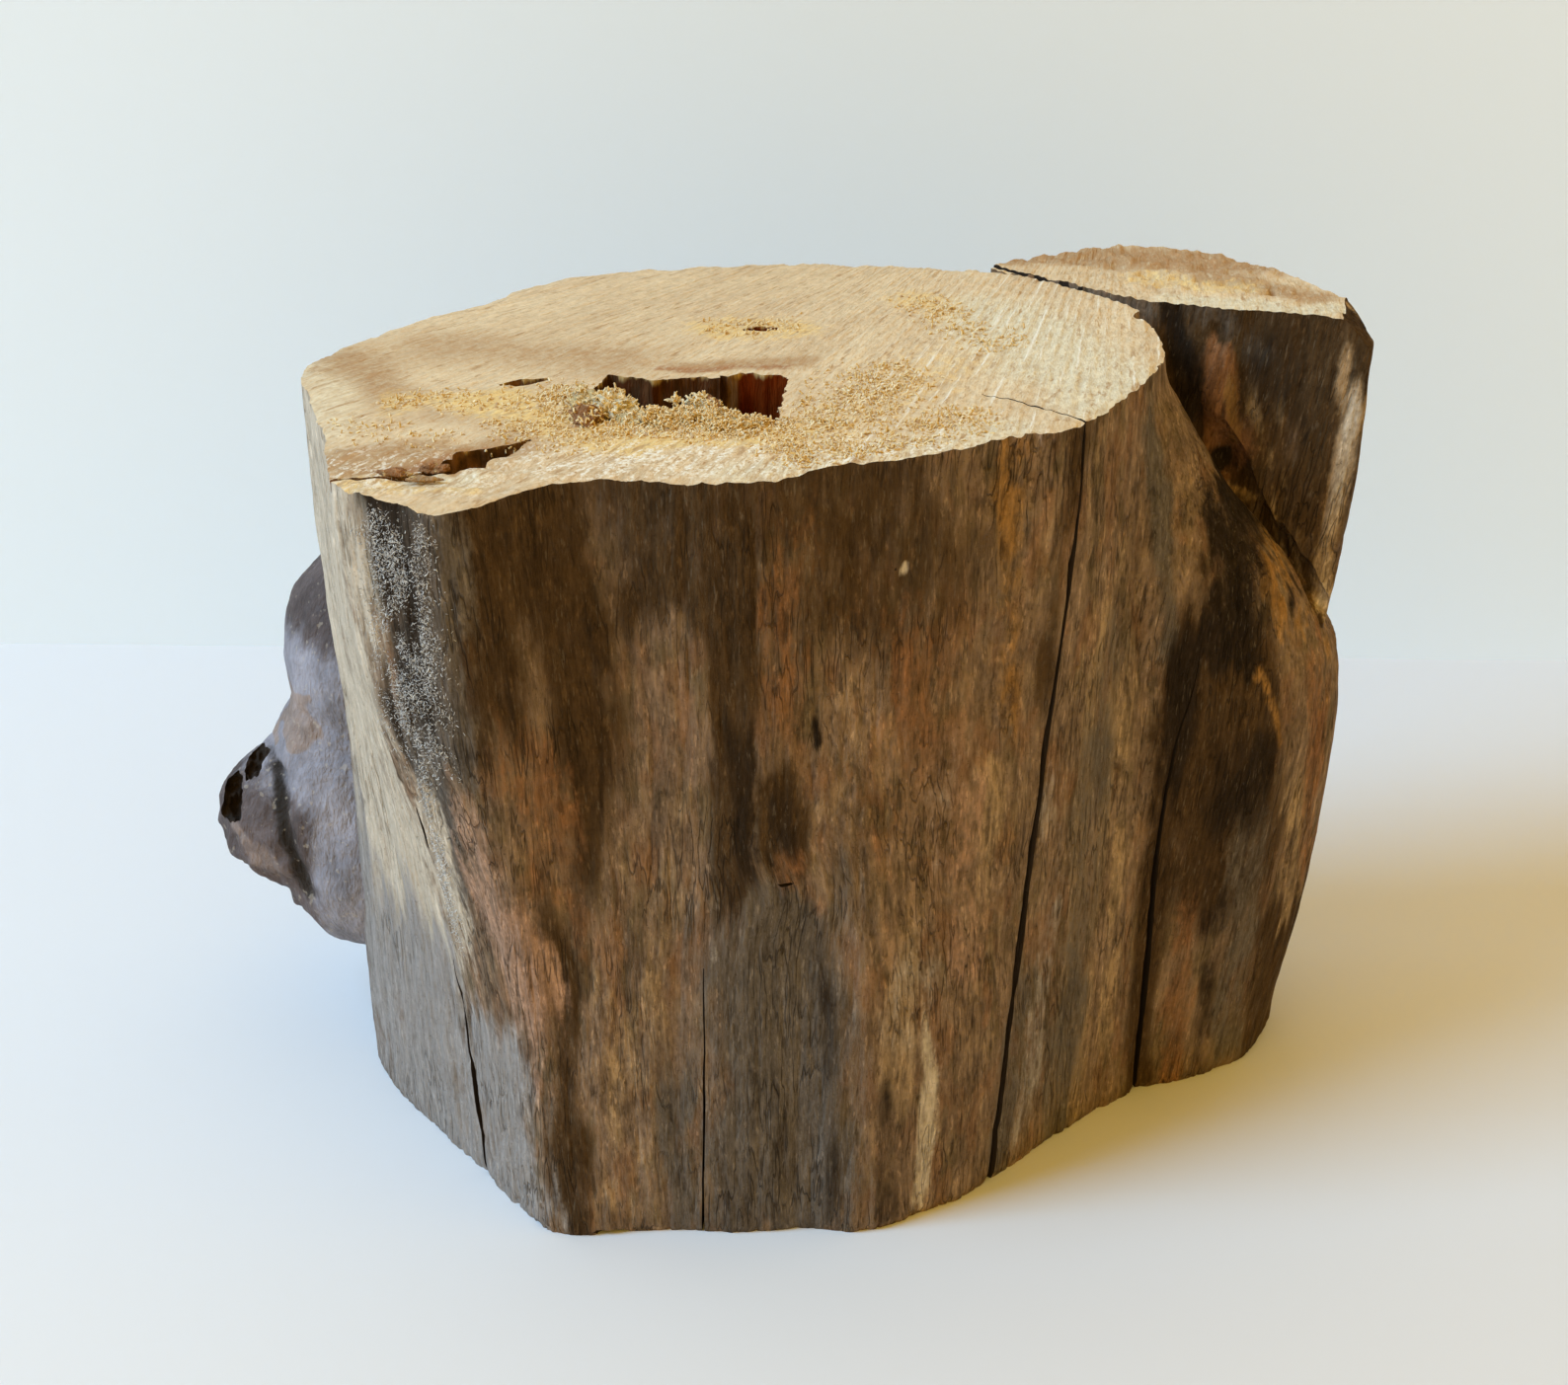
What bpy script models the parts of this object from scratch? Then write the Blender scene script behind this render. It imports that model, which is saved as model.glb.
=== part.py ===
"""Weathered maple log, sawn flat at both ends, with a second stem that forks from its right rear side,
a burl at the left rear, a rot pocket in the top and drying cracks down the sides.

Lengths in the constants and in every function are millimetres, and angles are degrees seen from above,
counted from +X towards +Y. MM turns a finished mesh into metres. The origin is on the foot plane,
under the middle of the main stem's top. +Z is up along the grain and -Y is the front.
"""

import bmesh
import bpy
import numpy as np

MM = 0.001

# Saw cuts
TOP_CUT = 185.0
FOOT_CUT = 0.0
OVERSHOOT = 5.0
SAW_REACH = 200.0

# Main stem, radius about the Z axis at the top cut and at the foot: (angle, radius)
TOP_OUTLINE = (
    (0, 89.5), (10, 94), (25, 98.5), (36, 93), (47, 88), (57, 80), (68, 74.5), (82, 70.5), (99, 68),
    (118, 71), (130, 73), (143, 72), (154, 77.5), (165, 84), (180, 92.5), (188, 90), (200, 89.5),
    (208, 92), (216, 96), (224, 93), (230, 91), (234, 84), (238, 66), (252, 58), (266, 57), (280, 55),
    (294, 53), (310, 56.5), (325, 63), (333, 69.5), (340, 77), (348, 81.5),
)
FOOT_OUTLINE = (
    (0, 96), (25, 95), (45, 89), (60, 81), (75, 74), (95, 70), (115, 71), (135, 76), (155, 85),
    (170, 90.5), (182, 82.5), (196, 73.5), (211, 69), (223, 70), (233, 71), (241, 66.5), (248, 62),
    (261, 57.5), (282, 57.5), (299, 64), (311, 66), (327, 70), (341, 76), (351, 84),
)
# How far the foot outline has turned into the top outline, by height
LEAN_HEIGHTS = (-5, 40, 80, 110, 140, 170, 190)
LEAN_SHARE = (0.0, 0.06, 0.28, 0.58, 0.86, 0.98, 1.0)

# Collar, the swelling that carries the second stem: a level ellipse by height
COLLAR_HEIGHTS = (-5, 45, 90, 105, 114, 130, 150, 170, 190)
COLLAR_X = (90, 93, 94, 94, 91, 86, 80, 76, 72)
COLLAR_Y = (31, 32.5, 34.5, 34.5, 31.5, 25, 19, 17, 16)
COLLAR_HALF_X = (42, 46, 48, 46.5, 45, 40, 30, 22, 16)
COLLAR_HALF_Y = (33, 35.5, 38.5, 38.5, 35.5, 30, 24, 22, 20)

# Low swelling of the stem that carries the burl: its angle and height, their half spreads, its rise
BURL_BASE_PLACE = (148.0, 66.0)
BURL_BASE_SPREAD = (17.0, 58.0)
BURL_BASE_RISE = 9.0
# Burl: its lumps as centre (x, y, z) and half axes, the point that its surface is measured from, how soft
# its lumps join, and the depth, length and start of the waves on it
BURL_LUMPS = (
    ((-84, 42, 99), (24, 25, 27)),
    ((-91, 43, 62), (23, 29, 31)),
    ((-106, 38, 56), (19.5, 18, 16.5)),
    ((-88, 37, 48), (24, 26, 26)),
)
BURL_MIDDLE = (-88, 42, 70)
BURL_BLEND = 11.0
BURL_WAVES = ((0.9, 9.0, 0.3), (0.6, 5.5, 1.9))

# Knot scar on the front: its place, the half width and half height of its swelling, and its slit
KNOT_ANGLE = 281.0
KNOT_HEIGHT = 95.0
KNOT_HALF = (16.0, 20.0)
KNOT_SWELL = 2.0
KNOT_SLIT_HALF = (4.0, 2.5, 1.6)

# Second stem: its outline at the top cut, its lean by height, and how far it has left the collar by height
FORK_OUTLINE = (
    (59, 66), (76, 56), (90, 45), (97, 41.5), (114, 38), (125, 35.5), (136, 32), (142, 31), (143.5, 35),
    (140.5, 43), (135, 51), (127, 62), (116.5, 74), (105.5, 79.5), (89, 81), (72.5, 76),
)
FORK_AXIS = (104, 58)
FORK_HEIGHTS = (90, 113, 127, 149, 190)
FORK_SHIFT_X = (-11, -7, -4, -1.3, 0)
FORK_SHIFT_Y = (-10, -8, -6, -3, 0)
LEAVING_HEIGHTS = (-5, 94, 104, 114, 130, 190)
FRONT_LEAVING = (0.0, 0.0, 0.3, 0.86, 1.0, 1.0)
REAR_LEAVING = (0.0, 0.0, 0.02, 0.08, 0.25, 1.0)
REAR_FACING = 110.0
# Below the fork the second stem is the collar moved rearwards by this
REARWARD = 3.0
# Rounded corner that bark wane leaves at the right of the second stem's top
WANE_POINT = (139.5, 35.0, 181.0)
WANE_FACING = (0.66, -0.2, 0.72)
WANE_SIZE = 30.0

# Softness of the joints between the swellings of the main stem
BLEND = 5.0

# Mesh density
STEM_COLUMNS = 120
RING_SPACING = 8.0
COLLAR_TOP = (98.0, 138.0)
FORK_COLUMNS = 60
FORK_RINGS = 21
BURL_SUBDIVISIONS = 4
CUTTER_SIDES = 10
# Steps round the stem, and the half width of the strip, in which a point of its surface is looked for
SEARCH_STEPS = 7201
SEARCH_WIDTH = 0.5

# Rot pocket: a deep square shaft at the right and a shelf at the left, each a rim at the top cut and a depth
SHAFT_RIM = ((-3, -24), (4, -27), (9.5, -26.5), (10.5, -14), (11.5, -1), (4, 0.5), (-3, -0.5), (-2, -12))
SHAFT_DEPTH = 44.0
SHELF_RIM = (
    (-33, -27), (-28, -27), (-21, -23), (-10, -20.5), (0, -23), (1, -2), (-9, -1), (-17.5, -3.5),
    (-27, -0.5), (-30, -10), (-32, -18),
)
SHELF_DEPTH = 17.0
POCKET_TAPER = 0.86

# Bark crease between the stems: a trough from the top cut down to the right side, (x, y, z) and radius
CREASE_PATH = (
    ((91, 36, 195), 4.5), ((97, 33, 172), 6.5), ((108, 33, 153), 8.5), ((119, 30, 138), 6.0),
    ((129, 25, 124), 3.5), ((144, 17, 108), 2.0),
)
# Thin bark line between the stems on the top cut: (x, y), width, depth
SEAM = (((57, 68), 1.6, 6.0), ((68, 60.5), 1.4, 6.0), ((79, 51.5), 1.8, 8.0), ((91, 41), 3.0, 12.0))

# Openings in the top cut, each a wedge along a line of (x, y), width, depth
SPLIT = (
    ((-84, -55), 3.0, 5.0), ((-72, -50), 5.0, 7.0), ((-62, -47.5), 7.5, 10.0), ((-52, -44), 11.0, 20.0),
    ((-44, -38.5), 7.0, 22.0), ((-35.5, -33.5), 1.2, 5.0),
)
SLOT = (((-49, -4.5), 0.6, 3.0), ((-44.5, -3.5), 2.4, 8.0), ((-40, -2.5), 0.6, 3.0))
PIN_SLOT = (((1, 25.7), 0.5, 2.0), ((5, 26.4), 1.8, 6.0), ((9, 27), 0.5, 2.0))
TOP_CHECK = (
    ((54, -13), 0.4, 2.0), ((62, -15.5), 1.0, 6.0), ((69, -19.5), 1.2, 8.0), ((78, -28), 1.6, 10.0),
)

# Drying cracks in the sides: name, the angle that the crack opens towards, and a wedge down a line of
# (x, height), width, depth. Those behind, where the photograph doesn't reach, are like those in front.
CRACKS = (
    ("main_crack", 322, (
        ((73.5, 192), 1.3, 14), ((70.5, 145), 1.4, 16), ((66.5, 95), 1.5, 18), ((62.5, 45), 1.6, 18),
        ((58.5, -7), 1.6, 18),
    )),
    ("valley_crack", 290, (
        ((103.5, 122), 0.4, 3), ((99.5, 97), 1.2, 8), ((96.5, 66), 1.5, 12), ((96, 33), 1.6, 12),
        ((95.2, -7), 1.6, 12),
    )),
    ("left_crack", 225, (
        ((-63.5, 60), 0.4, 3), ((-61.5, 40), 1.4, 9), ((-60, 20), 1.8, 11), ((-59, -7), 1.8, 11),
    )),
    ("short_crack", 225, (((-68, 107), 0.3, 2), ((-66.3, 98), 1.4, 6), ((-65.4, 88), 0.3, 2))),
    ("hair_crack", 268, (((-6.5, 72), 0.3, 2), ((-7, 35), 0.7, 5), ((-7.5, -7), 0.8, 6))),
    ("rear_crack", 92, (((-6, 168), 0.4, 2), ((-9, 130), 1.8, 13), ((-12, 70), 1.6, 9), ((-13, 30), 0.4, 2))),
    ("rear_low_crack", 112, (((-47, 84), 0.4, 2), ((-45, 45), 1.6, 10), ((-43, -7), 2.0, 12))),
)
# Nick in the front edge of the foot
FOOT_NICK = ((-28, -60, 0), (5.0, 4.0, 1.8))

# Holes where the burl has rotted through: centre and half axes
BURL_HOLES = (
    ((-117, 33, 72), (8, 7, 4.5)),
    ((-125, 34, 60), (7, 7, 6.5)),
)

# Colour and finish of the wood
WOOD_COLOUR = (0.13, 0.075, 0.042, 1.0)
WOOD_ROUGHNESS = 0.85


def curve_through(knots, values, at):
    """Smooth curve through the knots that never swings past them, read at the points `at`."""
    knots = np.asarray(knots, float)
    values = np.asarray(values, float)
    steps = np.diff(knots)
    rises = np.diff(values) / steps
    slopes = np.zeros(len(knots))
    turning = rises[:-1] * rises[1:] <= 0
    safe_before = np.where(turning, 1.0, rises[:-1])
    safe_after = np.where(turning, 1.0, rises[1:])
    weight_before = 2 * steps[1:] + steps[:-1]
    weight_after = steps[1:] + 2 * steps[:-1]
    mean = (weight_before + weight_after) / (weight_before / safe_before + weight_after / safe_after)
    slopes[1:-1] = np.where(turning, 0.0, mean)
    at = np.clip(at, knots[0], knots[-1])
    cell = np.clip(np.searchsorted(knots, at, side="right") - 1, 0, len(steps) - 1)
    width = steps[cell]
    t = (at - knots[cell]) / width
    start = (1 + 2 * t) * (1 - t) ** 2 * values[cell] + t * (1 - t) ** 2 * width * slopes[cell]
    end = t * t * (3 - 2 * t) * values[cell + 1] + t * t * (t - 1) * width * slopes[cell + 1]
    return start + end


def outline_radius(outline, angle):
    """Radius of a closed outline, given as (angle, radius) points, at the angles asked for."""
    turns = [a + turn for turn in (-360, 0, 360) for a, _ in outline]
    radii = [r for _ in range(3) for _, r in outline]
    return curve_through(turns, radii, np.mod(angle, 360.0))


def far_side(direction, centre, half):
    """Distance along each direction to the far side of an ellipsoid, falling away steeply beside it."""
    scaled = direction / np.asarray(half, float)
    middle = np.asarray(centre, float) / np.asarray(half, float)
    a = (scaled * scaled).sum(axis=-1)
    b = (scaled * middle).sum(axis=-1)
    c = (middle * middle).sum(axis=-1) - 1.0
    inside = b * b - a * c
    steepness = np.where(inside > 0, 1.0, 3.0)
    return (b + steepness * np.sign(inside) * np.sqrt(np.abs(inside))) / a


def soft_max(a, b, softness=BLEND):
    """The larger of two radii, rounded where they meet."""
    return 0.5 * (a + b + np.sqrt((a - b) ** 2 + softness ** 2)) - 0.25 * softness ** 2 / (
        np.abs(a - b) + softness
    )


def angle_between(angle, other):
    """Signed difference of two angles, from -180 to 180."""
    return np.mod(angle - other + 180.0, 360.0) - 180.0


def knot_swelling(angle, height, radius):
    """Rise of the swelling round the knot scar."""
    across = np.radians(angle_between(angle, KNOT_ANGLE)) * radius
    along = height - KNOT_HEIGHT
    return KNOT_SWELL * np.exp(-(across / KNOT_HALF[0]) ** 2 - (along / KNOT_HALF[1]) ** 2)


def burl_base_swelling(angle, height):
    """Rise of the low swelling that carries the burl."""
    across = angle_between(angle, BURL_BASE_PLACE[0]) / BURL_BASE_SPREAD[0]
    along = (height - BURL_BASE_PLACE[1]) / BURL_BASE_SPREAD[1]
    return BURL_BASE_RISE * np.exp(-across ** 2 - along ** 4)


def level_direction(angle):
    """Level unit vectors at the angles given."""
    turn = np.radians(angle)
    return np.stack([np.cos(turn), np.sin(turn), np.zeros_like(turn)], axis=-1)


def collar(height):
    """Centre x and y and half axes of the collar's ellipse at a height."""
    return [
        float(curve_through(COLLAR_HEIGHTS, values, height))
        for values in (COLLAR_X, COLLAR_Y, COLLAR_HALF_X, COLLAR_HALF_Y)
    ]


def stem_radius(angle, height):
    """Radius of the main stem with its collar, the swelling under the burl and the knot."""
    direction = level_direction(angle)
    share = curve_through(LEAN_HEIGHTS, LEAN_SHARE, height)
    radius = (1 - share) * outline_radius(FOOT_OUTLINE, angle) + share * outline_radius(TOP_OUTLINE, angle)
    x, y, half_x, half_y = collar(height)
    radius = soft_max(radius, far_side(direction, (x, y, 0.0), (half_x, half_y, 1.0)))
    return radius + knot_swelling(angle, height, radius) + burl_base_swelling(angle, height)


def stem_point(x, height, behind=False):
    """Point of the main stem's surface at an x and a height, on its front or behind."""
    angles = np.linspace(0.0, 360.0, SEARCH_STEPS)
    points = stem_radius(angles, height)[:, None] * level_direction(angles)
    near = points[np.abs(points[:, 0] - x) < SEARCH_WIDTH]
    depth = near[:, 1].max() if behind else near[:, 1].min()
    return np.array([x, depth, height])


def burl_points(directions):
    """Points of the burl's surface in the directions given from its middle."""
    middle = np.array(BURL_MIDDLE, float)
    radius = np.full(len(directions), 1.0)
    for centre, half in BURL_LUMPS:
        radius = soft_max(radius, far_side(directions, np.array(centre) - middle, half), BURL_BLEND)
    points = middle + radius[:, None] * directions
    for depth, length, start in BURL_WAVES:
        wave = np.prod(np.sin(points / length + start + np.array([0.0, 1.3, 2.1])), axis=1)
        points += depth * wave[:, None] * directions
    return points


def even_angles(count):
    """Angles that put the stem's columns at even distances round its girth at mid height."""
    fine = np.linspace(0.0, 360.0, 2881)
    radius = stem_radius(fine, 0.5 * TOP_CUT)
    x = radius * np.cos(np.radians(fine))
    y = radius * np.sin(np.radians(fine))
    length = np.concatenate(([0.0], np.cumsum(np.hypot(np.diff(x), np.diff(y)))))
    return np.interp(np.arange(count) / count * length[-1], length, fine)


def closed_curve(points, count):
    """Even points on the smooth closed curve through the points given, which run counter-clockwise."""
    points = np.asarray(points, float)
    ring = np.vstack([points[-3:], points, points[:4]])
    steps = np.concatenate(([0.0], np.cumsum(np.linalg.norm(np.diff(ring, axis=0), axis=1))))
    start = steps[3]
    end = steps[3 + len(points)]
    at = start + np.arange(count) / count * (end - start)
    return np.column_stack([curve_through(steps, ring[:, k], at) for k in (0, 1)])


def wood_material():
    """Bare weathered maple."""
    material = bpy.data.materials.new("weathered_maple")
    material.use_nodes = True
    shader = material.node_tree.nodes["Principled BSDF"]
    shader.inputs["Base Color"].default_value = WOOD_COLOUR
    shader.inputs["Roughness"].default_value = WOOD_ROUGHNESS
    shader.inputs["Metallic"].default_value = 0.0
    return material


def add_object(name, points, faces):
    """Object of a closed mesh, its points given in millimetres, its faces turned outwards."""
    mesh = bpy.data.meshes.new(name)
    mesh.from_pydata([tuple(float(c) * MM for c in point) for point in points], [], faces)
    shape = bmesh.new()
    shape.from_mesh(mesh)
    bmesh.ops.recalc_face_normals(shape, faces=shape.faces)
    shape.to_mesh(mesh)
    shape.free()
    item = bpy.data.objects.new(name, mesh)
    bpy.context.scene.collection.objects.link(item)
    return item


def loft(name, rings):
    """Closed solid through rings of equal point count, from the lowest to the highest."""
    count = len(rings[0])
    points = np.concatenate(rings)
    faces = []
    for level in range(len(rings) - 1):
        low = level * count
        high = low + count
        for k in range(count):
            after = (k + 1) % count
            faces.append((low + k, low + after, high + after, high + k))
    faces.append(tuple(reversed(range(count))))
    faces.append(tuple(range(len(points) - count, len(points))))
    return add_object(name, points, faces)


def main_stem():
    """Main stem with its collar and burl, longer than the log at both ends."""
    angles = even_angles(STEM_COLUMNS)
    rings = []
    heights = np.arange(FOOT_CUT - OVERSHOOT, TOP_CUT + OVERSHOOT + 1, RING_SPACING)
    between = np.arange(COLLAR_TOP[0], COLLAR_TOP[1], RING_SPACING) + 0.5 * RING_SPACING
    between = heights[0] + RING_SPACING * (np.floor((between - heights[0]) / RING_SPACING) + 0.5)
    for height in np.sort(np.concatenate([heights, between])):
        ring = stem_radius(angles, height)[:, None] * level_direction(angles)
        rings.append(ring + np.array([0.0, 0.0, height]))
    return loft("log", rings)


def second_stem():
    """Second stem, which runs out of the collar's rear and leaves it at the fork."""
    outline = closed_curve(FORK_OUTLINE, FORK_COLUMNS)
    turn = np.arctan2(outline[:, 1] - FORK_AXIS[1], outline[:, 0] - FORK_AXIS[0])
    rear = 0.5 + 0.5 * np.cos(turn - np.radians(REAR_FACING))
    rings = []
    for height in np.linspace(FOOT_CUT - OVERSHOOT, TOP_CUT + OVERSHOOT, FORK_RINGS):
        share = (1 - rear) * curve_through(LEAVING_HEIGHTS, FRONT_LEAVING, height)
        share += rear * curve_through(LEAVING_HEIGHTS, REAR_LEAVING, height)
        shift_x = curve_through(FORK_HEIGHTS, FORK_SHIFT_X, height)
        shift_y = curve_through(FORK_HEIGHTS, FORK_SHIFT_Y, height)
        centre_x, centre_y, half_x, half_y = collar(min(height, LEAVING_HEIGHTS[1]))
        x = (1 - share) * (centre_x + half_x * np.cos(turn)) + share * (outline[:, 0] + shift_x)
        y = (1 - share) * (centre_y + half_y * np.sin(turn) + REARWARD) + share * (outline[:, 1] + shift_y)
        rings.append(np.column_stack([x, y, np.full(FORK_COLUMNS, height)]))
    return loft("second_stem", rings)


def wedge(name, stations):
    """Three-sided closed cutter; each station is its two outer edges and its inner edge."""
    points = [corner for station in stations for corner in station]
    faces = [(0, 1, 2), tuple(len(points) - k for k in (1, 2, 3))]
    for k in range(0, len(points) - 3, 3):
        for edge in range(3):
            after = (edge + 1) % 3
            faces.append((k + edge, k + 3 + edge, k + 3 + after, k + after))
    return add_object(name, points, faces)


def widen(surface, side, out, width, depth):
    """Station of a wedge that has the width at the surface and comes to an edge at the depth."""
    outer = surface + OVERSHOOT * out
    half = 0.5 * width * (depth + OVERSHOOT) / depth * side
    return outer - half, outer + half, surface - depth * out


def top_wedge(name, line):
    """Wedge let into the top cut along a line of (x, y), width, depth."""
    places = np.array([place for place, _, _ in line], float)
    along = np.gradient(places, axis=0)
    along /= np.linalg.norm(along, axis=1)[:, None]
    out = np.array([0.0, 0.0, 1.0])
    stations = []
    for (x, y), (dx, dy), (_, width, depth) in zip(places, along, line):
        surface = np.array([x, y, TOP_CUT])
        stations.append(widen(surface, np.array([-dy, dx, 0.0]), out, width, depth))
    return wedge(name, stations)


def side_wedge(name, facing, line):
    """Wedge let into the main stem's side down a line of (x, height), width, depth."""
    out = level_direction(facing)
    side = level_direction(facing + 90.0)
    stations = []
    for (x, height), width, depth in line:
        surface = stem_point(x, height, behind=out[1] > 0)
        stations.append(widen(surface, side, out, width, depth))
    return wedge(name, stations)


def trough(name, path):
    """Round cutter whose radius changes along a path of (x, y, z), radius."""
    places = np.array([place for place, _ in path], float)
    along = np.gradient(places, axis=0)
    turn = np.arange(CUTTER_SIDES) / CUTTER_SIDES * 2 * np.pi
    rings = []
    for place, direction, (_, radius) in zip(places, along, path):
        side = np.cross(direction, (0.0, 1.0, 0.0))
        side /= np.linalg.norm(side)
        up = np.cross(side, direction)
        up /= np.linalg.norm(up)
        rings.append(place + radius * (np.cos(turn)[:, None] * side + np.sin(turn)[:, None] * up))
    return loft(name, rings)


def pocket(name, rim, depth):
    """Cutter that narrows from its rim at the top cut down to its floor."""
    rim = np.array(rim, float)
    middle = rim.mean(axis=0)
    rings = []
    for scale, height in ((POCKET_TAPER, TOP_CUT - depth), (1.0, TOP_CUT), (1.0, TOP_CUT + OVERSHOOT)):
        rings.append(np.column_stack([middle + scale * (rim - middle), np.full(len(rim), height)]))
    return loft(name, rings)


def unit_ball(subdivisions):
    """Points and faces of a ball of radius one."""
    shape = bmesh.new()
    bmesh.ops.create_icosphere(shape, subdivisions=subdivisions, radius=1.0)
    points = np.array([vertex.co for vertex in shape.verts])
    faces = [tuple(vertex.index for vertex in face.verts) for face in shape.faces]
    shape.free()
    return points, faces


def ellipsoid(name, centre, half):
    """Round cutter of the given half axes."""
    points, faces = unit_ball(2)
    return add_object(name, np.array(centre, float) + points * np.array(half, float), faces)


def burl():
    """Burl at the left rear, sunk into the main stem."""
    points, faces = unit_ball(BURL_SUBDIVISIONS)
    points /= np.linalg.norm(points, axis=1)[:, None]
    return add_object("burl", burl_points(points), faces)


def knot_slit():
    """Slit in the middle of the knot scar."""
    direction = level_direction(KNOT_ANGLE)
    centre = stem_radius(KNOT_ANGLE, KNOT_HEIGHT) * direction + np.array([0.0, 0.0, KNOT_HEIGHT])
    return ellipsoid("knot_slit", centre, KNOT_SLIT_HALF)


def wane():
    """Block that bevels the corner of the second stem's top."""
    facing = np.array(WANE_FACING) / np.linalg.norm(WANE_FACING)
    side = np.cross(facing, (0.0, 0.0, 1.0))
    side /= np.linalg.norm(side)
    up = np.cross(side, facing)
    rings = []
    for reach in (0.0, WANE_SIZE):
        middle = np.array(WANE_POINT) + reach * facing
        corners = ((-1, -1), (1, -1), (1, 1), (-1, 1))
        rings.append(np.array([middle + WANE_SIZE * (i * side + j * up) for i, j in corners]))
    return loft("wane", rings)


def saw_block(name, low, high):
    """Block of waste wood that a saw cut takes off between two heights."""
    square = ((-1, -1), (1, -1), (1, 1), (-1, 1))
    rings = []
    for height in (low, high):
        rings.append(np.array([(x * SAW_REACH, y * SAW_REACH, height) for x, y in square]))
    return loft(name, rings)


def combine(target, tool, operation):
    """Join or cut the target with a tool, which is then hidden."""
    modifier = target.modifiers.new(tool.name, "BOOLEAN")
    modifier.operation = operation
    modifier.solver = "EXACT"
    modifier.object = tool
    tool.hide_render = True
    tool.display_type = "WIRE"


def build():
    """The whole log."""
    for item in list(bpy.data.objects):
        bpy.data.objects.remove(item)
    log = main_stem()
    log.data.materials.append(wood_material())
    combine(log, second_stem(), "UNION")
    combine(log, burl(), "UNION")
    cutters = [
        saw_block("top_waste", TOP_CUT, TOP_CUT + 4 * OVERSHOOT),
        saw_block("foot_waste", FOOT_CUT - 4 * OVERSHOOT, FOOT_CUT),
        wane(),
        pocket("pocket_shaft", SHAFT_RIM, SHAFT_DEPTH),
        pocket("pocket_shelf", SHELF_RIM, SHELF_DEPTH),
        trough("bark_crease", CREASE_PATH),
        top_wedge("bark_seam", SEAM),
        top_wedge("split", SPLIT),
        top_wedge("slot", SLOT),
        top_wedge("pin_slot", PIN_SLOT),
        top_wedge("top_check", TOP_CHECK),
        knot_slit(),
        ellipsoid("foot_nick", *FOOT_NICK),
    ]
    cutters += [side_wedge(*crack) for crack in CRACKS]
    for number, (centre, half) in enumerate(BURL_HOLES, 1):
        cutters.append(ellipsoid(f"burl_hole_{number}", centre, half))
    for cutter in cutters:
        combine(log, cutter, "DIFFERENCE")


build()
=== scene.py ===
"""Weathered maple log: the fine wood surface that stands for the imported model's log, and its studio.

The log's main forms follow the same named values as its solid. Over them come the relief of the grain,
the saw marks, the rough walls of the pocket and the cracks, torn fibres and crumbs of rotten wood.

Lengths in the tables and in every function are millimetres, and angles are degrees seen from above,
counted from +X towards +Y. MM turns a finished mesh into metres. +Z is up along the grain and -Y is
the front.
"""

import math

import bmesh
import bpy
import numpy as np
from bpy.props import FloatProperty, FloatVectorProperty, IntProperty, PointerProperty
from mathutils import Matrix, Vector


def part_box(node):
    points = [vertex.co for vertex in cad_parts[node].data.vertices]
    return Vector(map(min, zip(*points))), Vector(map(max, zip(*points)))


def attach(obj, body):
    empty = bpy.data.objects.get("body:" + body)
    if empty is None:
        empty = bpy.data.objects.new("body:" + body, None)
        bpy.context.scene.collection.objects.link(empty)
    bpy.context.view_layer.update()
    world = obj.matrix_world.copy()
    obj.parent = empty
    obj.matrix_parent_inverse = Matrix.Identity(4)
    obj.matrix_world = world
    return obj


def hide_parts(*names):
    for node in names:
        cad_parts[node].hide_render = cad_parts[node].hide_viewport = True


bl_info = {
    "name": "Weathered Maple Log",
    "version": (1, 0, 0),
    "blender": (4, 5, 0),
    "location": "View3D > Sidebar > Maple Log",
    "description": "Builds the fine surface of a weathered maple log, with its torn fibres and its studio",
    "category": "Add Mesh",
}

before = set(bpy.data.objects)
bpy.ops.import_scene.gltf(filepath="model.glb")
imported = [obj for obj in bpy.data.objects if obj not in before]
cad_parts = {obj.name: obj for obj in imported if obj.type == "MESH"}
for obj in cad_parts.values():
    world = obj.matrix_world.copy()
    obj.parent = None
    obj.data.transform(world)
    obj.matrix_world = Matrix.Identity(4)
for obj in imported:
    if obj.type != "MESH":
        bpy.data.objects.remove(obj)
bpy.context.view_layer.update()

MM = 0.001

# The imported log
LOG_NODE = "log"
LOG_BODY = "root"
TOP_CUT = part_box(LOG_NODE)[1][2] / MM

# Main stem, radius about the Z axis at the top cut and at the foot: (angle, radius)
TOP_OUTLINE = (
    (0, 89.5), (10, 94), (25, 98.5), (36, 93), (47, 88), (57, 80), (68, 74.5), (82, 70.5), (99, 68),
    (118, 71), (130, 73), (143, 72), (154, 77.5), (165, 84), (180, 92.5), (188, 90), (200, 89.5),
    (208, 92), (216, 96), (224, 93), (230, 91), (234, 84), (238, 66), (252, 58), (266, 57), (280, 55),
    (294, 53), (310, 56.5), (325, 63), (333, 69.5), (340, 77), (348, 81.5),
)
FOOT_OUTLINE = (
    (0, 96), (25, 95), (45, 89), (60, 81), (75, 74), (95, 70), (115, 71), (135, 76), (155, 85),
    (170, 90.5), (182, 82.5), (196, 73.5), (211, 69), (223, 70), (233, 71), (241, 66.5), (248, 62),
    (261, 57.5), (282, 57.5), (299, 64), (311, 66), (327, 70), (341, 76), (351, 84),
)
LEAN_HEIGHTS = (-5, 40, 80, 110, 140, 170, 190)
LEAN_SHARE = (0.0, 0.06, 0.28, 0.58, 0.86, 0.98, 1.0)

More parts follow.
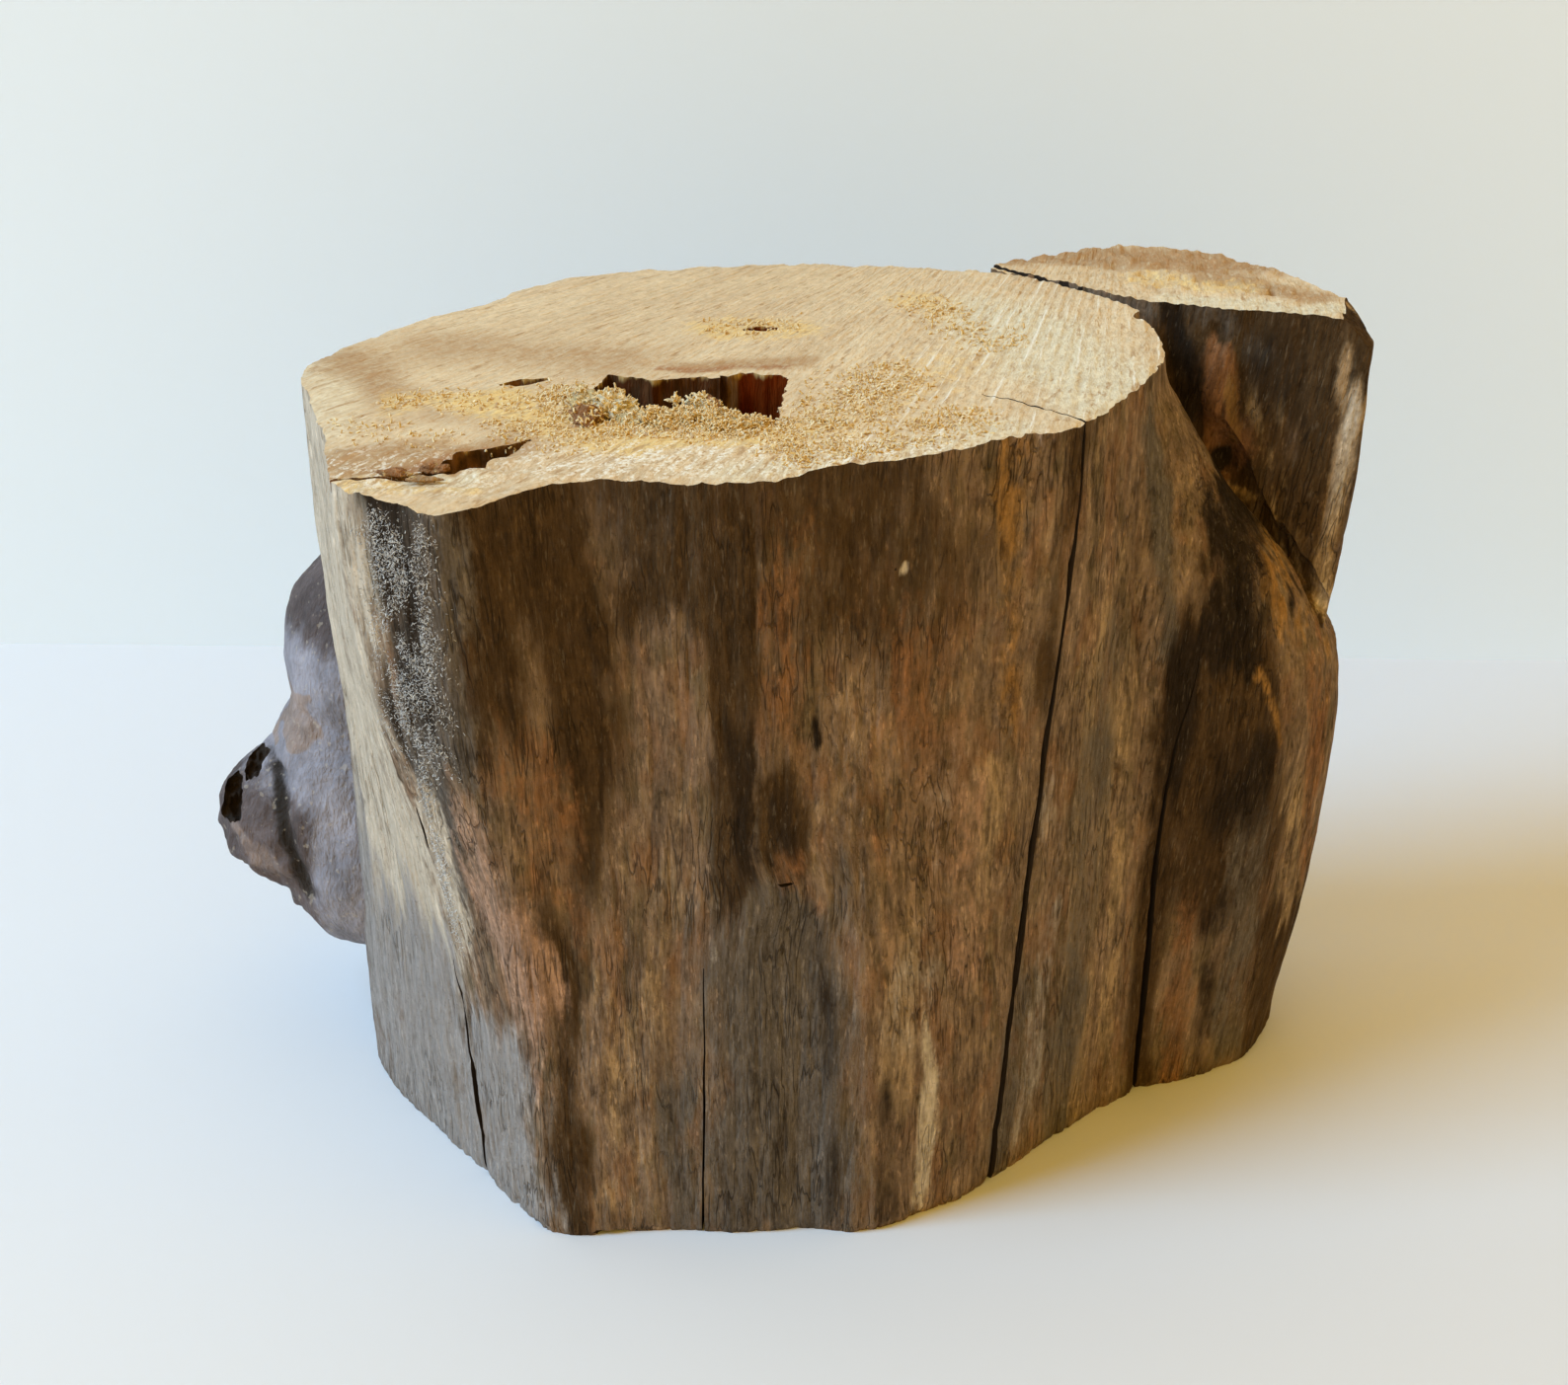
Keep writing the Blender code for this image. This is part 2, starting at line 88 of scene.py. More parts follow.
# Collar that carries the second stem: a level ellipse by height
COLLAR_HEIGHTS = (-5, 45, 90, 105, 114, 130, 150, 170, 190)
COLLAR_X = (90, 93, 94, 94, 91, 86, 80, 76, 72)
COLLAR_Y = (31, 32.5, 34.5, 34.5, 31.5, 25, 19, 17, 16)
COLLAR_HALF_X = (42, 46, 48, 46.5, 45, 40, 30, 22, 16)
COLLAR_HALF_Y = (33, 35.5, 38.5, 38.5, 35.5, 30, 24, 22, 20)

# Low swelling under the burl, then the burl's lumps as centre (x, y, z) and half axes
BURL_BASE_PLACE = (148.0, 66.0)
BURL_BASE_SPREAD = (17.0, 58.0)
BURL_BASE_RISE = 9.0
BURL_LUMPS = (
    ((-84, 42, 99), (24, 25, 27)),
    ((-91, 43, 62), (23, 29, 31)),
    ((-106, 38, 56), (19.5, 18, 16.5)),
    ((-88, 37, 48), (24, 26, 26)),
)
BURL_MIDDLE = (-88, 42, 70)
BURL_BLEND = 11.0
BURL_WAVES = ((0.9, 9.0, 0.3), (0.6, 5.5, 1.9))
BURL_HOLES = (
    ((-117, 34, 71.5), (3.4, 6.5, 5.0)),
    ((-122.5, 30, 62.5), (4.2, 7.5, 5.8)),
)

# Groove in the burl, by (x, height), and the y in front of which it and the flaked skin lie
BURL_GROOVE = ((-110.5, 72), (-104, 44))
BURL_FRONT = 40

# Knot scar on the front
KNOT_ANGLE = 281.0
KNOT_HEIGHT = 95.0
KNOT_HALF = (16.0, 20.0)
KNOT_SWELL = 2.0
KNOT_SLIT_HALF = (1.7, 1.4, 0.45)
KNOT_SLIT_DROP = 2.8

# Second stem: its outline at the top cut, its lean by height, and how far it has left the collar
FORK_OUTLINE = (
    (59, 66), (76, 56), (90, 45), (97, 41.5), (114, 38), (125, 35.5), (136, 32), (142, 31), (143.5, 35),
    (140.5, 43), (135, 51), (127, 62), (116.5, 74), (105.5, 79.5), (89, 81), (72.5, 76),
)
FORK_AXIS = (104, 58)
FORK_HEIGHTS = (90, 113, 127, 149, 190)
FORK_SHIFT_X = (-11, -7, -4, -1.3, 0)
FORK_SHIFT_Y = (-10, -8, -6, -3, 0)
LEAVING_HEIGHTS = (-5, 94, 104, 114, 130, 190)
FRONT_LEAVING = (0.0, 0.0, 0.3, 0.86, 1.0, 1.0)
REAR_LEAVING = (0.0, 0.0, 0.02, 0.08, 0.25, 1.0)
REAR_FACING = 110.0
REARWARD = 3.0
# Below the fork the second stem stays this far inside the collar at its two sides
FORK_TUCK = 2.0
WANE_POINT = (139.5, 35.0, 181.0)
WANE_FACING = (0.66, -0.2, 0.72)
WANE_SIZE = 26.0

# Softness of the joints between the swellings of the main stem
BLEND = 5.0

# Rot pocket, each part a rim at the top cut and a depth
SHAFT_RIM = ((-3, -24), (4, -27), (9.5, -26.5), (10.5, -14), (11.5, -1), (4, 0.5), (-3, -0.5), (-2, -12))
SHAFT_DEPTH = 44.0
SHELF_RIM = (
    (-33, -27), (-28, -27), (-21, -23), (-10, -20.5), (0, -23), (1, -2), (-9, -1), (-17.5, -3.5),
    (-27, -0.5), (-30, -10), (-32, -18),
)
SHELF_DEPTH = 17.0
POCKET_TAPER = 0.86

# Bark crease between the stems, (x, y, z) and radius, and the bark line on the top cut
CREASE_PATH = (
    ((91, 36, 195), 4.2), ((97, 32.5, 172), 5.4), ((108, 31.5, 153), 6.6), ((119, 29, 138), 4.6),
    ((129, 25, 124), 3.5), ((144, 17, 108), 2.0),
)
SEAM = (((57, 68), 1.6, 6.0), ((68, 60.5), 1.4, 6.0), ((79, 51.5), 1.8, 8.0), ((91, 41), 3.0, 12.0))

# Openings in the top cut: (x, y), width, depth
SPLIT = (
    ((-84, -55), 0.8, 4.0), ((-78, -53.5), 1.0, 5.0), ((-69, -54), 0.9, 4.0), ((-62, -52), 2.4, 6.0),
    ((-56.5, -49.5), 5.5, 14.0), ((-52.5, -44.5), 8.0, 20.0), ((-46, -39.5), 4.5, 20.0),
    ((-40.5, -35.5), 1.0, 5.0),
)
SLOT = (((-49.5, -6.8), 0.8, 3.0), ((-45, -5.2), 4.2, 9.0), ((-39.5, -3), 1.4, 3.0))
PIN_SLOT = (((1.5, 26.2), 0.9, 3.0), ((5.5, 26.8), 3.0, 8.0), ((9.5, 26.8), 1.0, 3.0))
TOP_CHECK = (
    ((52, -11.5), 0.3, 2.0), ((58, -14.5), 0.5, 5.0), ((64.5, -19), 0.6, 8.0),
)

# Drying cracks in the sides: name, the angle the crack opens towards, and (x, height), width, depth
CRACKS = (
    ("main_crack", 322, (
        ((73.5, 192), 0.6, 12), ((72.6, 172), 0.7, 13), ((70.5, 145), 1.0, 15), ((66.5, 95), 1.5, 18),
        ((62.5, 45), 1.9, 18), ((58.5, -7), 2.1, 18),
    )),
    ("valley_crack", 290, (
        ((103.5, 118), 0.3, 2), ((99.5, 97), 0.6, 6), ((96.5, 66), 1.2, 11), ((96, 33), 1.6, 12),
        ((95.2, -7), 1.8, 12),
    )),
    ("left_crack", 225, (
        ((-63.5, 60), 0.3, 2), ((-61.5, 40), 1.0, 8), ((-60, 20), 1.6, 11), ((-59, -7), 1.7, 11),
    )),
    ("short_crack", 225, (((-68, 107), 0.3, 2), ((-66.3, 98), 1.0, 6), ((-65.4, 88), 0.3, 2))),
    ("hair_crack", 268, (((-6.5, 72), 0.25, 2), ((-7, 35), 0.5, 5), ((-7.5, -7), 0.6, 6))),
    ("rear_crack", 92, (
        ((-6, 168), 0.4, 2), ((-9, 130), 1.8, 13), ((-12, 70), 1.6, 9), ((-13, 30), 0.4, 2),
    )),
    ("rear_low_crack", 112, (((-47, 84), 0.4, 2), ((-45, 45), 1.6, 10), ((-43, -7), 2.0, 12))),
)
CRACK_ROUGHNESS = 0.07
# Nick in the foot, by its centre and half axes, and the moth hole, by its x, height and radius
FOOT_NICK = ((-28, -60, 0), (5.0, 4.0, 1.8))
MOTH_HOLE = (33.4, 159.8, 0.5)

# Grain: how much the fibres draw together on their way down, for each millimetre below the top cut
GRAIN_TAPER = 0.0011
# Relief of the weathered side: depth, width across the grain, length along it
SIDE_RELIEF = ((0.7, 15.0, 80.0), (0.34, 5.0, 26.0), (0.2, 2.2, 11.0), (0.13, 1.1, 4.5))
# Narrow furrows along the grain: depth, width across, length along, sharpness
FURROWS = (0.5, 3.4, 32.0, 8.0)

# Saw lines on the top cut: where a line meets the X axis, and how far it leans to +X for each step to +Y
SAW_LINES = ((-120, 1.15), (-80, 1.1), (-30, 0.78), (20, 0.42), (50, 0.3), (82, 0.1), (120, 0.05))
SAW_LINE_ROUNDS = 30

# Section of a groove: share of the half width, share of the depth, and 1 above the surface
GROOVE_PROFILE = (
    (-1, 0, 1), (-1, 0, 0), (-0.72, 0.5, 0), (-0.25, 0.95, 0), (0.3, 1, 0), (0.75, 0.45, 0), (1, 0, 0),
    (1, 0, 1),
)

# Mesh density
STEM_COLUMNS = 768
STEM_RINGS = 84
REAR_DENSITY = 0.42
DENSE_FACING = 282.0
DENSE_REACH = (88.0, 106.0)
COLUMN_STEPS = 5761
FORK_COLUMNS = 250
FORK_RINGS = 84
BURL_SUBDIVISIONS = 7
OVERSHOOT = 5.0
SEARCH_STEPS = 7201
SEARCH_WIDTH = 0.5
SHARP_EDGE = 48.0

# Tones of the weathered side, each a mask that the zones below paint softly along the grain. A few of the
# zones are painted shade or a painted highlight, as marked at them.
TONES = ("umber", "tan", "ash", "rose", "rust", "bleached", "silver", "ochre", "soot_and_shade")
# Zones of the front by tone: one end (x, height), other end, half width, fading length, strength
FRONT_ZONES = {
    "bleached": (
        ((-84, 190), (-82, 44), 13, 16, 1.0), ((-73, 100), (-71, 56), 8, 12, 1.0),
        ((-64, 108), (-60, 66), 3.5, 10, 0.7), ((35.0, 159.8), (35.0, 159.2), 0.9, 0.6, 1.0),
        ((-3, 92), (-4, 76), 1.2, 5, 0.35), ((43, 40), (42, 6), 2.2, 5, 0.8),
    ),
    "silver": (
        ((-84, 52), (-80, 0), 13, 14, 0.8), ((-70, 56), (-67, 0), 11, 14, 1.0),
        ((-55, 38), (-49, 0), 8, 10, 1.0), ((70, 90), (66, 0), 3.0, 14, 0.35),
        ((44, 106), (40, 56), 9, 16, 0.2),
    ),
    "ash": (
        ((-62, 192), (-58, 128), 9.5, 10, 1.0), ((-65, 140), (-60, 96), 4.5, 10, 0.9),
        ((-14, 40), (-12, 6), 5, 8, 0.8), ((9, 86), (10, 0), 17, 7, 1.0),
        ((64, 60), (60, 0), 3.0, 14, 0.7), ((82, 124), (74, 0), 5, 14, 0.6),
        ((89.5, 178), (95.5, 128), 2.4, 8, 0.9), ((118, 70), (118, 14), 5, 10, 0.7),
    ),
    "soot_and_shade": (
        ((-67.5, 192), (-65, 140), 6.6, 10, 0.85), ((-26.4, 140), (-27.4, 112), 0.5, 5, 0.35),
        # The second entry on the next line, above the knot, is partly its dark colour and partly painted
        # shade of the hollow above it.
        ((2, 126), (3, 100), 3.0, 8, 0.75), ((10, 112), (11.5, 99), 2.6, 3, 0.4),
        ((17.3, 128.5), (17.9, 123.5), 0.75, 1.2, 1.0), ((19, 82), (22, 0), 2.0, 6, 0.4),
        # The second entry on the next line, the darkest band in the hollow under the bark crease, is
        # partly dark bark and partly painted shade.
        ((35, 34), (34, 0), 5, 8, 0.5), ((108, 154), (111, 117), 8.0, 5, 0.95),
        # The first entry on the next line, along the top of the valley crack, is painted shade in the
        # valley beside the collar.
        ((100, 122), (99, 90), 4.0, 7, 0.8), ((117, 90), (114, 74), 6.5, 5, 0.75),
        ((112, 46), (110, 0), 3.0, 10, 0.6), ((123.5, 135), (140, 110), 1.6, 2, 0.8),
    ),
    "umber": (
        ((-50, 190), (-47, 138), 7, 12, 1.0), ((-38, 190), (-30, 128), 8, 12, 0.9),
        ((-38, 74), (-37, 0), 5, 10, 0.8), ((-14, 190), (-12, 160), 15, 12, 1.0),
        ((20, 190), (26, 152), 24, 12, 0.75), ((-31, 150), (-31, 96), 4, 10, 0.85),
        # The second entry on the next line, round the knot, is partly its dark brown and partly painted
        # shade of the hollow above it.
        ((1, 186), (0, 92), 4.5, 10, 1.0), ((9, 114), (12, 96), 5, 4, 0.95),
        # The second entry on the next line darkens the valley between the main stem and the collar along
        # its crack: painted shade.
        ((70, 190), (67, 130), 3, 12, 0.6), ((99, 125), (95, 0), 4.0, 8, 0.85),
        ((112, 120), (112, 60), 14, 12, 1.0), ((130, 40), (128, 0), 9, 12, 0.8),
    ),
    "tan": (
        ((-57, 170), (-55, 152), 1.6, 6, 0.4), ((-29, 68), (-29, 14), 3, 8, 0.2),
        ((-22, 60), (-20, 26), 5, 8, 0.35), ((-12, 158), (-12, 84), 3.0, 10, 0.15),
        ((37, 80), (36, 40), 4, 8, 0.6), ((56.5, 104), (54, 84), 2.2, 6, 0.9),
        ((80, 190), (79, 126), 7, 14, 0.2), ((79, 130), (74, 10), 2.2, 14, 0.75),
        ((84, 110), (78, 0), 2.4, 16, 0.7), ((88, 110), (86, 20), 2.2, 14, 0.6),
        # The second entry on the next line, along the crest of the collar's ridge, is a painted highlight.
        ((130, 74), (131, 50), 4, 7, 0.7), ((117.5, 138), (136.5, 108.5), 2.0, 2, 0.55),
        ((106, 160), (104, 138), 1.0, 4, 0.6),
    ),
    "rose": (
        ((-53, 104), (-43, 56), 6, 12, 0.7), ((51.5, 98), (50, 72), 4.5, 7, 0.6),
    ),
    "rust": (
        ((-43, 124), (-37, 92), 7, 10, 0.5), ((12, 160), (11, 134), 6, 10, 0.45),
        ((12, 97), (12.5, 92), 3.6, 3, 0.5), ((34, 146), (44, 84), 12, 12, 0.35),
        ((106, 50), (104, 0), 3.5, 10, 0.5), ((132, 100), (137, 60), 4, 10, 0.5),
    ),
    "ochre": (
        ((58.6, 192), (56.7, 126), 3.6, 8, 0.45), ((117.1, 112), (124, 92), 1.3, 2, 0.7),
        # The entry on the next line, on the same crest, is partly its orange inner bark and partly a
        # painted highlight.
        ((116.5, 139), (137, 108), 1.6, 2, 0.6),
    ),
}
# Zones behind, where the wood has weathered grey with brown between
REAR_ZONES = {
    "silver": (
        ((-40, 190), (-45, 20), 26, 20, 0.7), ((-86, 190), (-86, 0), 14, 20, 1.0),
    ),
    "umber": (
        ((-6, 190), (-4, 60), 12, 20, 0.7), ((50, 190), (48, 0), 12, 20, 0.6),
        ((128, 120), (126, 10), 7, 14, 0.8),
    ),
    "ash": (
        ((20, 150), (24, 0), 18, 20, 0.9), ((110, 110), (112, 0), 22, 18, 0.8),
    ),
    "tan": (((5, 120), (6, 20), 5, 14, 0.6),),
    "rust": (((70, 150), (80, 70), 14, 16, 0.4),),
    "bleached": (((-70, 190), (-78, 120), 12, 16, 0.8),),
    "soot_and_shade": (((-45, 90), (-44, 0), 3, 10, 0.5),),
}
# Zones of the second stem, by (x, height)
FORK_ZONES = {
    "umber": (
        ((118, 190), (118, 110), 26, 14, 1.0), ((138, 186), (140, 172), 5, 4, 0.9),
    ),
    "soot_and_shade": (
        # The second entry on the next line, along the bark crease, is partly dark bark and partly painted
        # shade; the entry on the line after it is painted shade in the dent under the lump.
        ((120, 178), (124, 130), 9, 12, 0.35), ((97, 186), (105, 158), 3.0, 5, 0.95),
        ((112, 151), (113, 148), 3.6, 1.6, 1.0),
    ),
    "ash": (((104, 184), (116, 176), 7, 3, 0.4),),
    "rust": (((107, 170), (115, 151), 6.5, 3, 0.95),),
    "ochre": (
        ((112, 166), (114, 158), 1.6, 3, 0.7), ((111, 143), (120, 141), 4.0, 2, 0.6),
    ),
    "tan": (
        # The first entry on the next line lightens the ledge under the lump over its ochre: partly its own
        # ochre and partly a painted highlight.
        ((111, 143), (120, 141), 4.0, 2, 0.9), ((117, 168), (126, 122), 1.3, 6, 0.6),
        ((123, 160), (129.5, 120), 1.2, 6, 0.5), ((139.5, 174), (134.5, 118), 3.0, 6, 0.95),
    ),
    "bleached": (((139.5, 172), (134.5, 118), 1.8, 6, 0.4),),
}
# Places of relief or fuzz on the side, given as the zones are but with no strength
BARK_STREAK = ((59, 190), (56.7, 122), 4.2, 12)
PITTED_STREAK = ((59.5, 192), (57, 124), 5.0, 12)
PITTED_FOOT = ((-55, 24), (-50, 0), 8, 8)
FORK_BARK = ((105, 176), (120, 138), 11, 8)
FORK_LUMP = ((107, 172), (115, 154), 5.5, 5)
FORK_DENT = ((112, 149), (113, 147), 3.5, 2)
GREY_CORNER = ((-66, 182), (-63.5, 132), 7.0, 8)
GREY_EDGE = ((-65, 132), (-61, 76), 1.6, 8)
# Tones of the sawn face, painted on it as soft patches
CUT_TONES = ("stain", "gold", "russet", "chalk")
# Patches of the top cut by tone: one end (x, y), other end, half width, strength
TOP_PATCHES = {
    "stain": (
        ((-66, 16), (-24, 6), 12, 0.55), ((-30, 12), (-5, 25), 7, 0.25), ((-10, 6), (14, 6), 4, 0.7),
        ((-60, -24), (-40, -28), 6, 0.5), ((-80, -42), (-44, -38), 6, 0.8),
        ((-74, -50), (-56, -48), 5, 0.9), ((-84, 8), (-72, -12), 9, 0.7), ((20, -20), (60, 8), 8, 0.2),
    ),
    "russet": (
        ((-14, 2.5), (9, 2.8), 2.4, 0.75), ((-66, -49), (-52, -39), 3.0, 0.85),
        ((-34, -28), (-27, -29), 2.2, 0.6),
    ),
    "gold": (
        ((-4, 27), (12, 27), 8, 0.7), ((-50, -18), (-22, -36), 9, 0.8), ((-24, -34), (14, -32), 6, 1.0),
        ((14, -40), (46, 6), 12, 0.4), ((40, 44), (62, 20), 8, 0.6), ((-70, -16), (-46, -14), 6, 0.7),
        ((-80, -58), (-52, -60), 5, 0.6),
    ),
    "chalk": (
        ((60, 30), (80, -10), 18, 0.9), ((0, -52), (60, -30), 6, 0.7), ((-60, -54), (-52, -52), 3, 0.8),
        ((-88, 0), (-80, -30), 7, 0.5),
    ),
}
# Patches of the second stem's cut
FORK_PATCHES = {
    "stain": (
        ((62, 76), (124, 71), 9, 1.0), ((110, 60), (134, 44), 5, 0.8),
    ),
    "russet": (((96, 76), (126, 62), 5, 0.25),),
    "gold": (((92, 60), (116, 52), 6, 0.6),),
    "chalk": (((98, 44), (138, 36), 4.5, 1.0),),
}
# Places where torn fibres stand up from the top cut: (x, y), other end, half width, density share
FUZZ_PATCHES = (
    ((-22, -30), (12, -31), 5.5, 1.0),
    ((-44, -30), (-28, -34), 6, 0.3),
    ((-36, -10), (-31, -22), 5, 0.6),
    ((16, -38), (30, -6), 9, 0.55),
    ((30, -42), (46, -26), 8, 0.35),
    ((42, 40), (56, 18), 6, 0.2),
    ((0, 28), (9, 28), 5, 0.3),
    ((-66, -14), (-44, -16), 5, 0.22),
    ((-80, -30), (-62, -34), 6, 0.12),
)
# Strip along the front edge that the saw has scored most: (x, y), other end, half width. Beside it are
# the left lobe's broken surface and its pale marks.
SCORED = ((-34, -46), (52, -44), 10.0)
LOBE_RELIEF = ((-82, -48), (-50, -48), 13.0)
LOBE_MARKS = ((-80, -50), (-52, -52), 12.0)
# Lumps of crumbled wood in and before the pocket, and by the split: centre, half axes, tone
LUMPS = (
    ((-30.2, -25.4, 184.6), (3.4, 2.8, 2.3), "russet"),
    ((-29.6, -16.6, 184.8), (4.4, 3.8, 2.7), "gold"),
    ((-24.6, -20.0, 184.6), (3.9, 3.0, 2.8), "chalk"),
    ((-25.2, -14.0, 184.0), (3.4, 2.8, 2.2), "gold"),
    ((-21.4, -22.8, 183.6), (2.6, 1.8, 2.0), "gold"),
    ((-15.5, -25.6, 183.7), (6.5, 4.0, 2.4), "gold"),
    ((-8.5, -25.4, 184.0), (7.0, 4.2, 2.3), "gold"),
    ((1.0, -28.2, 183.7), (6.5, 3.2, 2.1), "gold"),
    ((-7.0, -17.8, 184.6), (2.7, 2.3, 2.8), "chalk"),
    ((-4.6, -18.6, 183.6), (2.0, 2.2, 2.6), "russet"),
    ((-12.3, -19.8, 186.6), (2.0, 0.45, 0.35), "chalk"),
    ((-11.9, -20.0, 187.0), (0.35, 0.35, 1.5), "chalk"),
    ((-60.5, -54.5, 184.3), (3.4, 1.2, 0.5), "stain"),
    ((-66.5, -51.5, 184.3), (3.6, 1.3, 0.6), "russet"),
    ((-59.0, -48.5, 183.6), (3.2, 1.2, 1.0), "russet"),
)
# Attribute that marks each tone of the lumps, and the colour that it takes
LUMP_TONES = (("stained", "stain"), ("reddened", "russet"), ("whitened", "chalk"))
LUMP_COLOURS = {"stain": "stain", "russet": "russet", "chalk": "fresh"}

# Streaks and clouds of the materials: how many lie across a metre, how many times longer they are
# along the grain, and the shift that sets them apart
SIDE_STREAKS = {
    "patch": (75.0, 2.2), "middle": (290.0, 4.0, 3.7), "fine": (850.0, 4.0, 9.1),
    "thread": (2100.0, 5.0, 5.3), "cord": (460.0, 13.0, 51.0), "strand": (1400.0, 18.0, 71.0),
    "moss": (130.0, 2.6, 23.0), "rust": (150.0, 2.6, 41.0), "glint": (1000.0, 4.5, 13.0),
    "shade": (560.0, 5.0, 17.0), "fleck": (1300.0, 7.0, 61.0), "pit": (640.0, 1.9, 67.0),
}
SIDE_MOTTLE = (620.0, 1.0, 2.9)
CUT_STREAKS = {
    "broad": (90.0, 1.8), "fine": (800.0, 2.6, 2.3), "dash": (620.0, 3.0, 21.0),
    "thread": (700.0, 3.0, 31.0), "scratch": (520.0, 13.0, 37.0), "mark": (950.0, 5.0, 43.0),
}
CUT_CLOUDS = {"cloud": (520.0, 1.0, 5.5), "grit": (1000.0, 1.3, 47.0), "chip": (850.0, 1.4, 27.0)}
HEART_STREAKS = {"middle": (420.0, 9.0), "fine": (1300.0, 12.0, 4.0), "soft": (300.0, 1.2, 8.0)}
CRACK_STREAKS = (900.0, 14.0)
BURL_STREAKS = {"broad": (70.0, 1.2), "middle": (260.0, 1.6, 1.7), "fine": (1000.0, 3.0, 6.1)}
STRAND_CLOUD = (700.0, 1.0)
CRUMB_CLOUDS = {"grain": (900.0, 1.0), "cloud": (350.0, 1.0, 7.0)}
# Walls of the openings by x, in metres: where the split's begin, the shaft's begin, and the pale rib
SPLIT_SIDE = (-0.037, -0.041)
SHAFT_SIDE = (0.0, 0.002)
RIB_OFFSET = 0.0005
RIB_HALF = (0.0016, 0.0006)

# Camera, from the photograph's frame in pixels
PHOTO_WIDTH = 1588
PHOTO_FOCUS = 3000
SENSOR = 36.0
CAMERA_PLACE = (0.0106, -0.5894, 0.4210)
CAMERA_TILT = 62.0
WALL_PLACE = 0.2295
WALL_TURN = -1.4
WINDOW_PLACE = (-2.3, -0.73, 2.25)
WINDOW_SIZE = (1.05, 1.95)
WINDOW_AIM = (0.0, 0.0, 0.1)
FLOOR_REACH = 1.4
WALL_HEIGHT = 1.3
GLOW_COLOUR = (0.35, 0.73, 1.0)


# Sizes and colours that a user would change
class MapleLogShape(bpy.types.PropertyGroup):
    """Depths and counts of the fine surface."""

    relief: FloatProperty(
        name="Grain relief", description="Depth of the relief along the grain, as a share of the usual",
        default=1.0, min=0.0, max=2.0,
    )
    saw_pitch: FloatProperty(
        name="Saw pitch", description="Distance between two saw lines on the top cut",
        default=0.003, min=0.001, max=0.01, unit="LENGTH",
    )
    saw_depth: FloatProperty(
        name="Saw depth", description="Depth of the saw lines", default=0.00024, min=0.0, max=0.002,
        unit="LENGTH",
    )
    fibre_density: IntProperty(
        name="Torn fibres",
        description="Torn fibres on a square metre of the roughest part of the top cut",
        default=4800000, min=0,
    )
    crumb_density: IntProperty(
        name="Crumbs",
        description="Crumbs on a square metre of the roughest part of the top cut",
        default=2400000, min=0,
    )
    fibre_length: FloatProperty(
        name="Fibre length", description="Length of a torn fibre", default=0.0008, min=0.0002, max=0.01,
        unit="LENGTH",
    )
    fuzz_density: IntProperty(
        name="Pale fuzz", description="Pale fibres on a square metre of the grey corner",
        default=9000000, min=0,
    )


def colour_property(name, description, colour):
    """Property for one colour of the wood."""
    return FloatVectorProperty(
        name=name, description=description, default=colour, size=3, min=0.0, max=1.0, subtype="COLOR",
    )


class MapleLogColours(bpy.types.PropertyGroup):
    """Colours of the wood."""

    brown: colour_property("Brown", "Weathered wood between the other tones", (0.235, 0.158, 0.102))
    tan: colour_property("Tan", "Lighter streaks of the side", (0.3, 0.205, 0.115))
    # Umber: a real dark brown stain, which also paints shade in the valley by the collar, round the knot
    # and in the walls of the pocket and the split.
    umber: colour_property("Umber", "Dark brown stain", (0.058, 0.033, 0.014))
    ash: colour_property("Ash", "Dark grey wood low on the front", (0.11, 0.088, 0.068))
    rose: colour_property("Rose", "Pinkish wood at the left", (0.33, 0.2, 0.13))
    rust: colour_property("Rust", "Reddish wood round the knot", (0.2, 0.095, 0.042))
    bleached: colour_property("Bleached", "Sun-bleached corner", (0.5, 0.415, 0.31))
    silver: colour_property("Silver", "Grey weathered wood of the left corner", (0.265, 0.235, 0.21))
    ochre: colour_property("Ochre", "Orange inner bark", (0.25, 0.13, 0.04))
    # Nearly black: the real dark streaks and dirt of the side, and also painted shade in the cracks,
    # holes, bark pits, the burl's groove, the bark crease, the dent, round the knot and in the valley by
    # the collar.
    soot_and_shade: colour_property("Soot", "Nearly black streaks", (0.022, 0.014, 0.008))
    cream: colour_property("Cream", "Fresh wood of the sawn faces", (0.73, 0.565, 0.35))
    russet: colour_property("Russet", "Red brown rot beside the openings", (0.36, 0.17, 0.07))
    fresh: colour_property("Fresh fibre", "Newly torn fibres and crumbs", (0.93, 0.78, 0.5))
    honey: colour_property("Honey", "Deepest shade of the torn fibres", (0.72, 0.46, 0.15))
    moss: colour_property("Moss", "Olive brown patches of the side", (0.085, 0.062, 0.027))
    fluff: colour_property("Fluff", "Pale fuzz of the left corner", (0.95, 0.92, 0.86))
    flake: colour_property("Burl flake", "Flaked skin of the burl", (0.27, 0.2, 0.165))
    stain: colour_property("Stain", "Brown stain on the sawn faces", (0.43, 0.26, 0.125))
    gold: colour_property("Gold", "Soft golden wood near the pocket", (0.76, 0.54, 0.225))
    scratch: colour_property("Scratch", "Whitish marks that the saw left", (0.88, 0.81, 0.66))
    chalk: colour_property("Chalk", "Palest part of the sawn faces", (0.7, 0.6, 0.41))
    heart: colour_property("Rotten heart", "Walls of the pocket", (0.16, 0.025, 0.002))
    # Crack: the near black of the narrow openings' walls, painted shade.
    crack: colour_property("Crack", "Walls of the drying cracks", (0.03, 0.018, 0.011))
    haze: colour_property("Burl haze", "Grey purple skin of the burl", (0.27, 0.25, 0.27))
    bruise: colour_property("Burl bruise", "Brown purple lumps of the burl", (0.105, 0.078, 0.072))


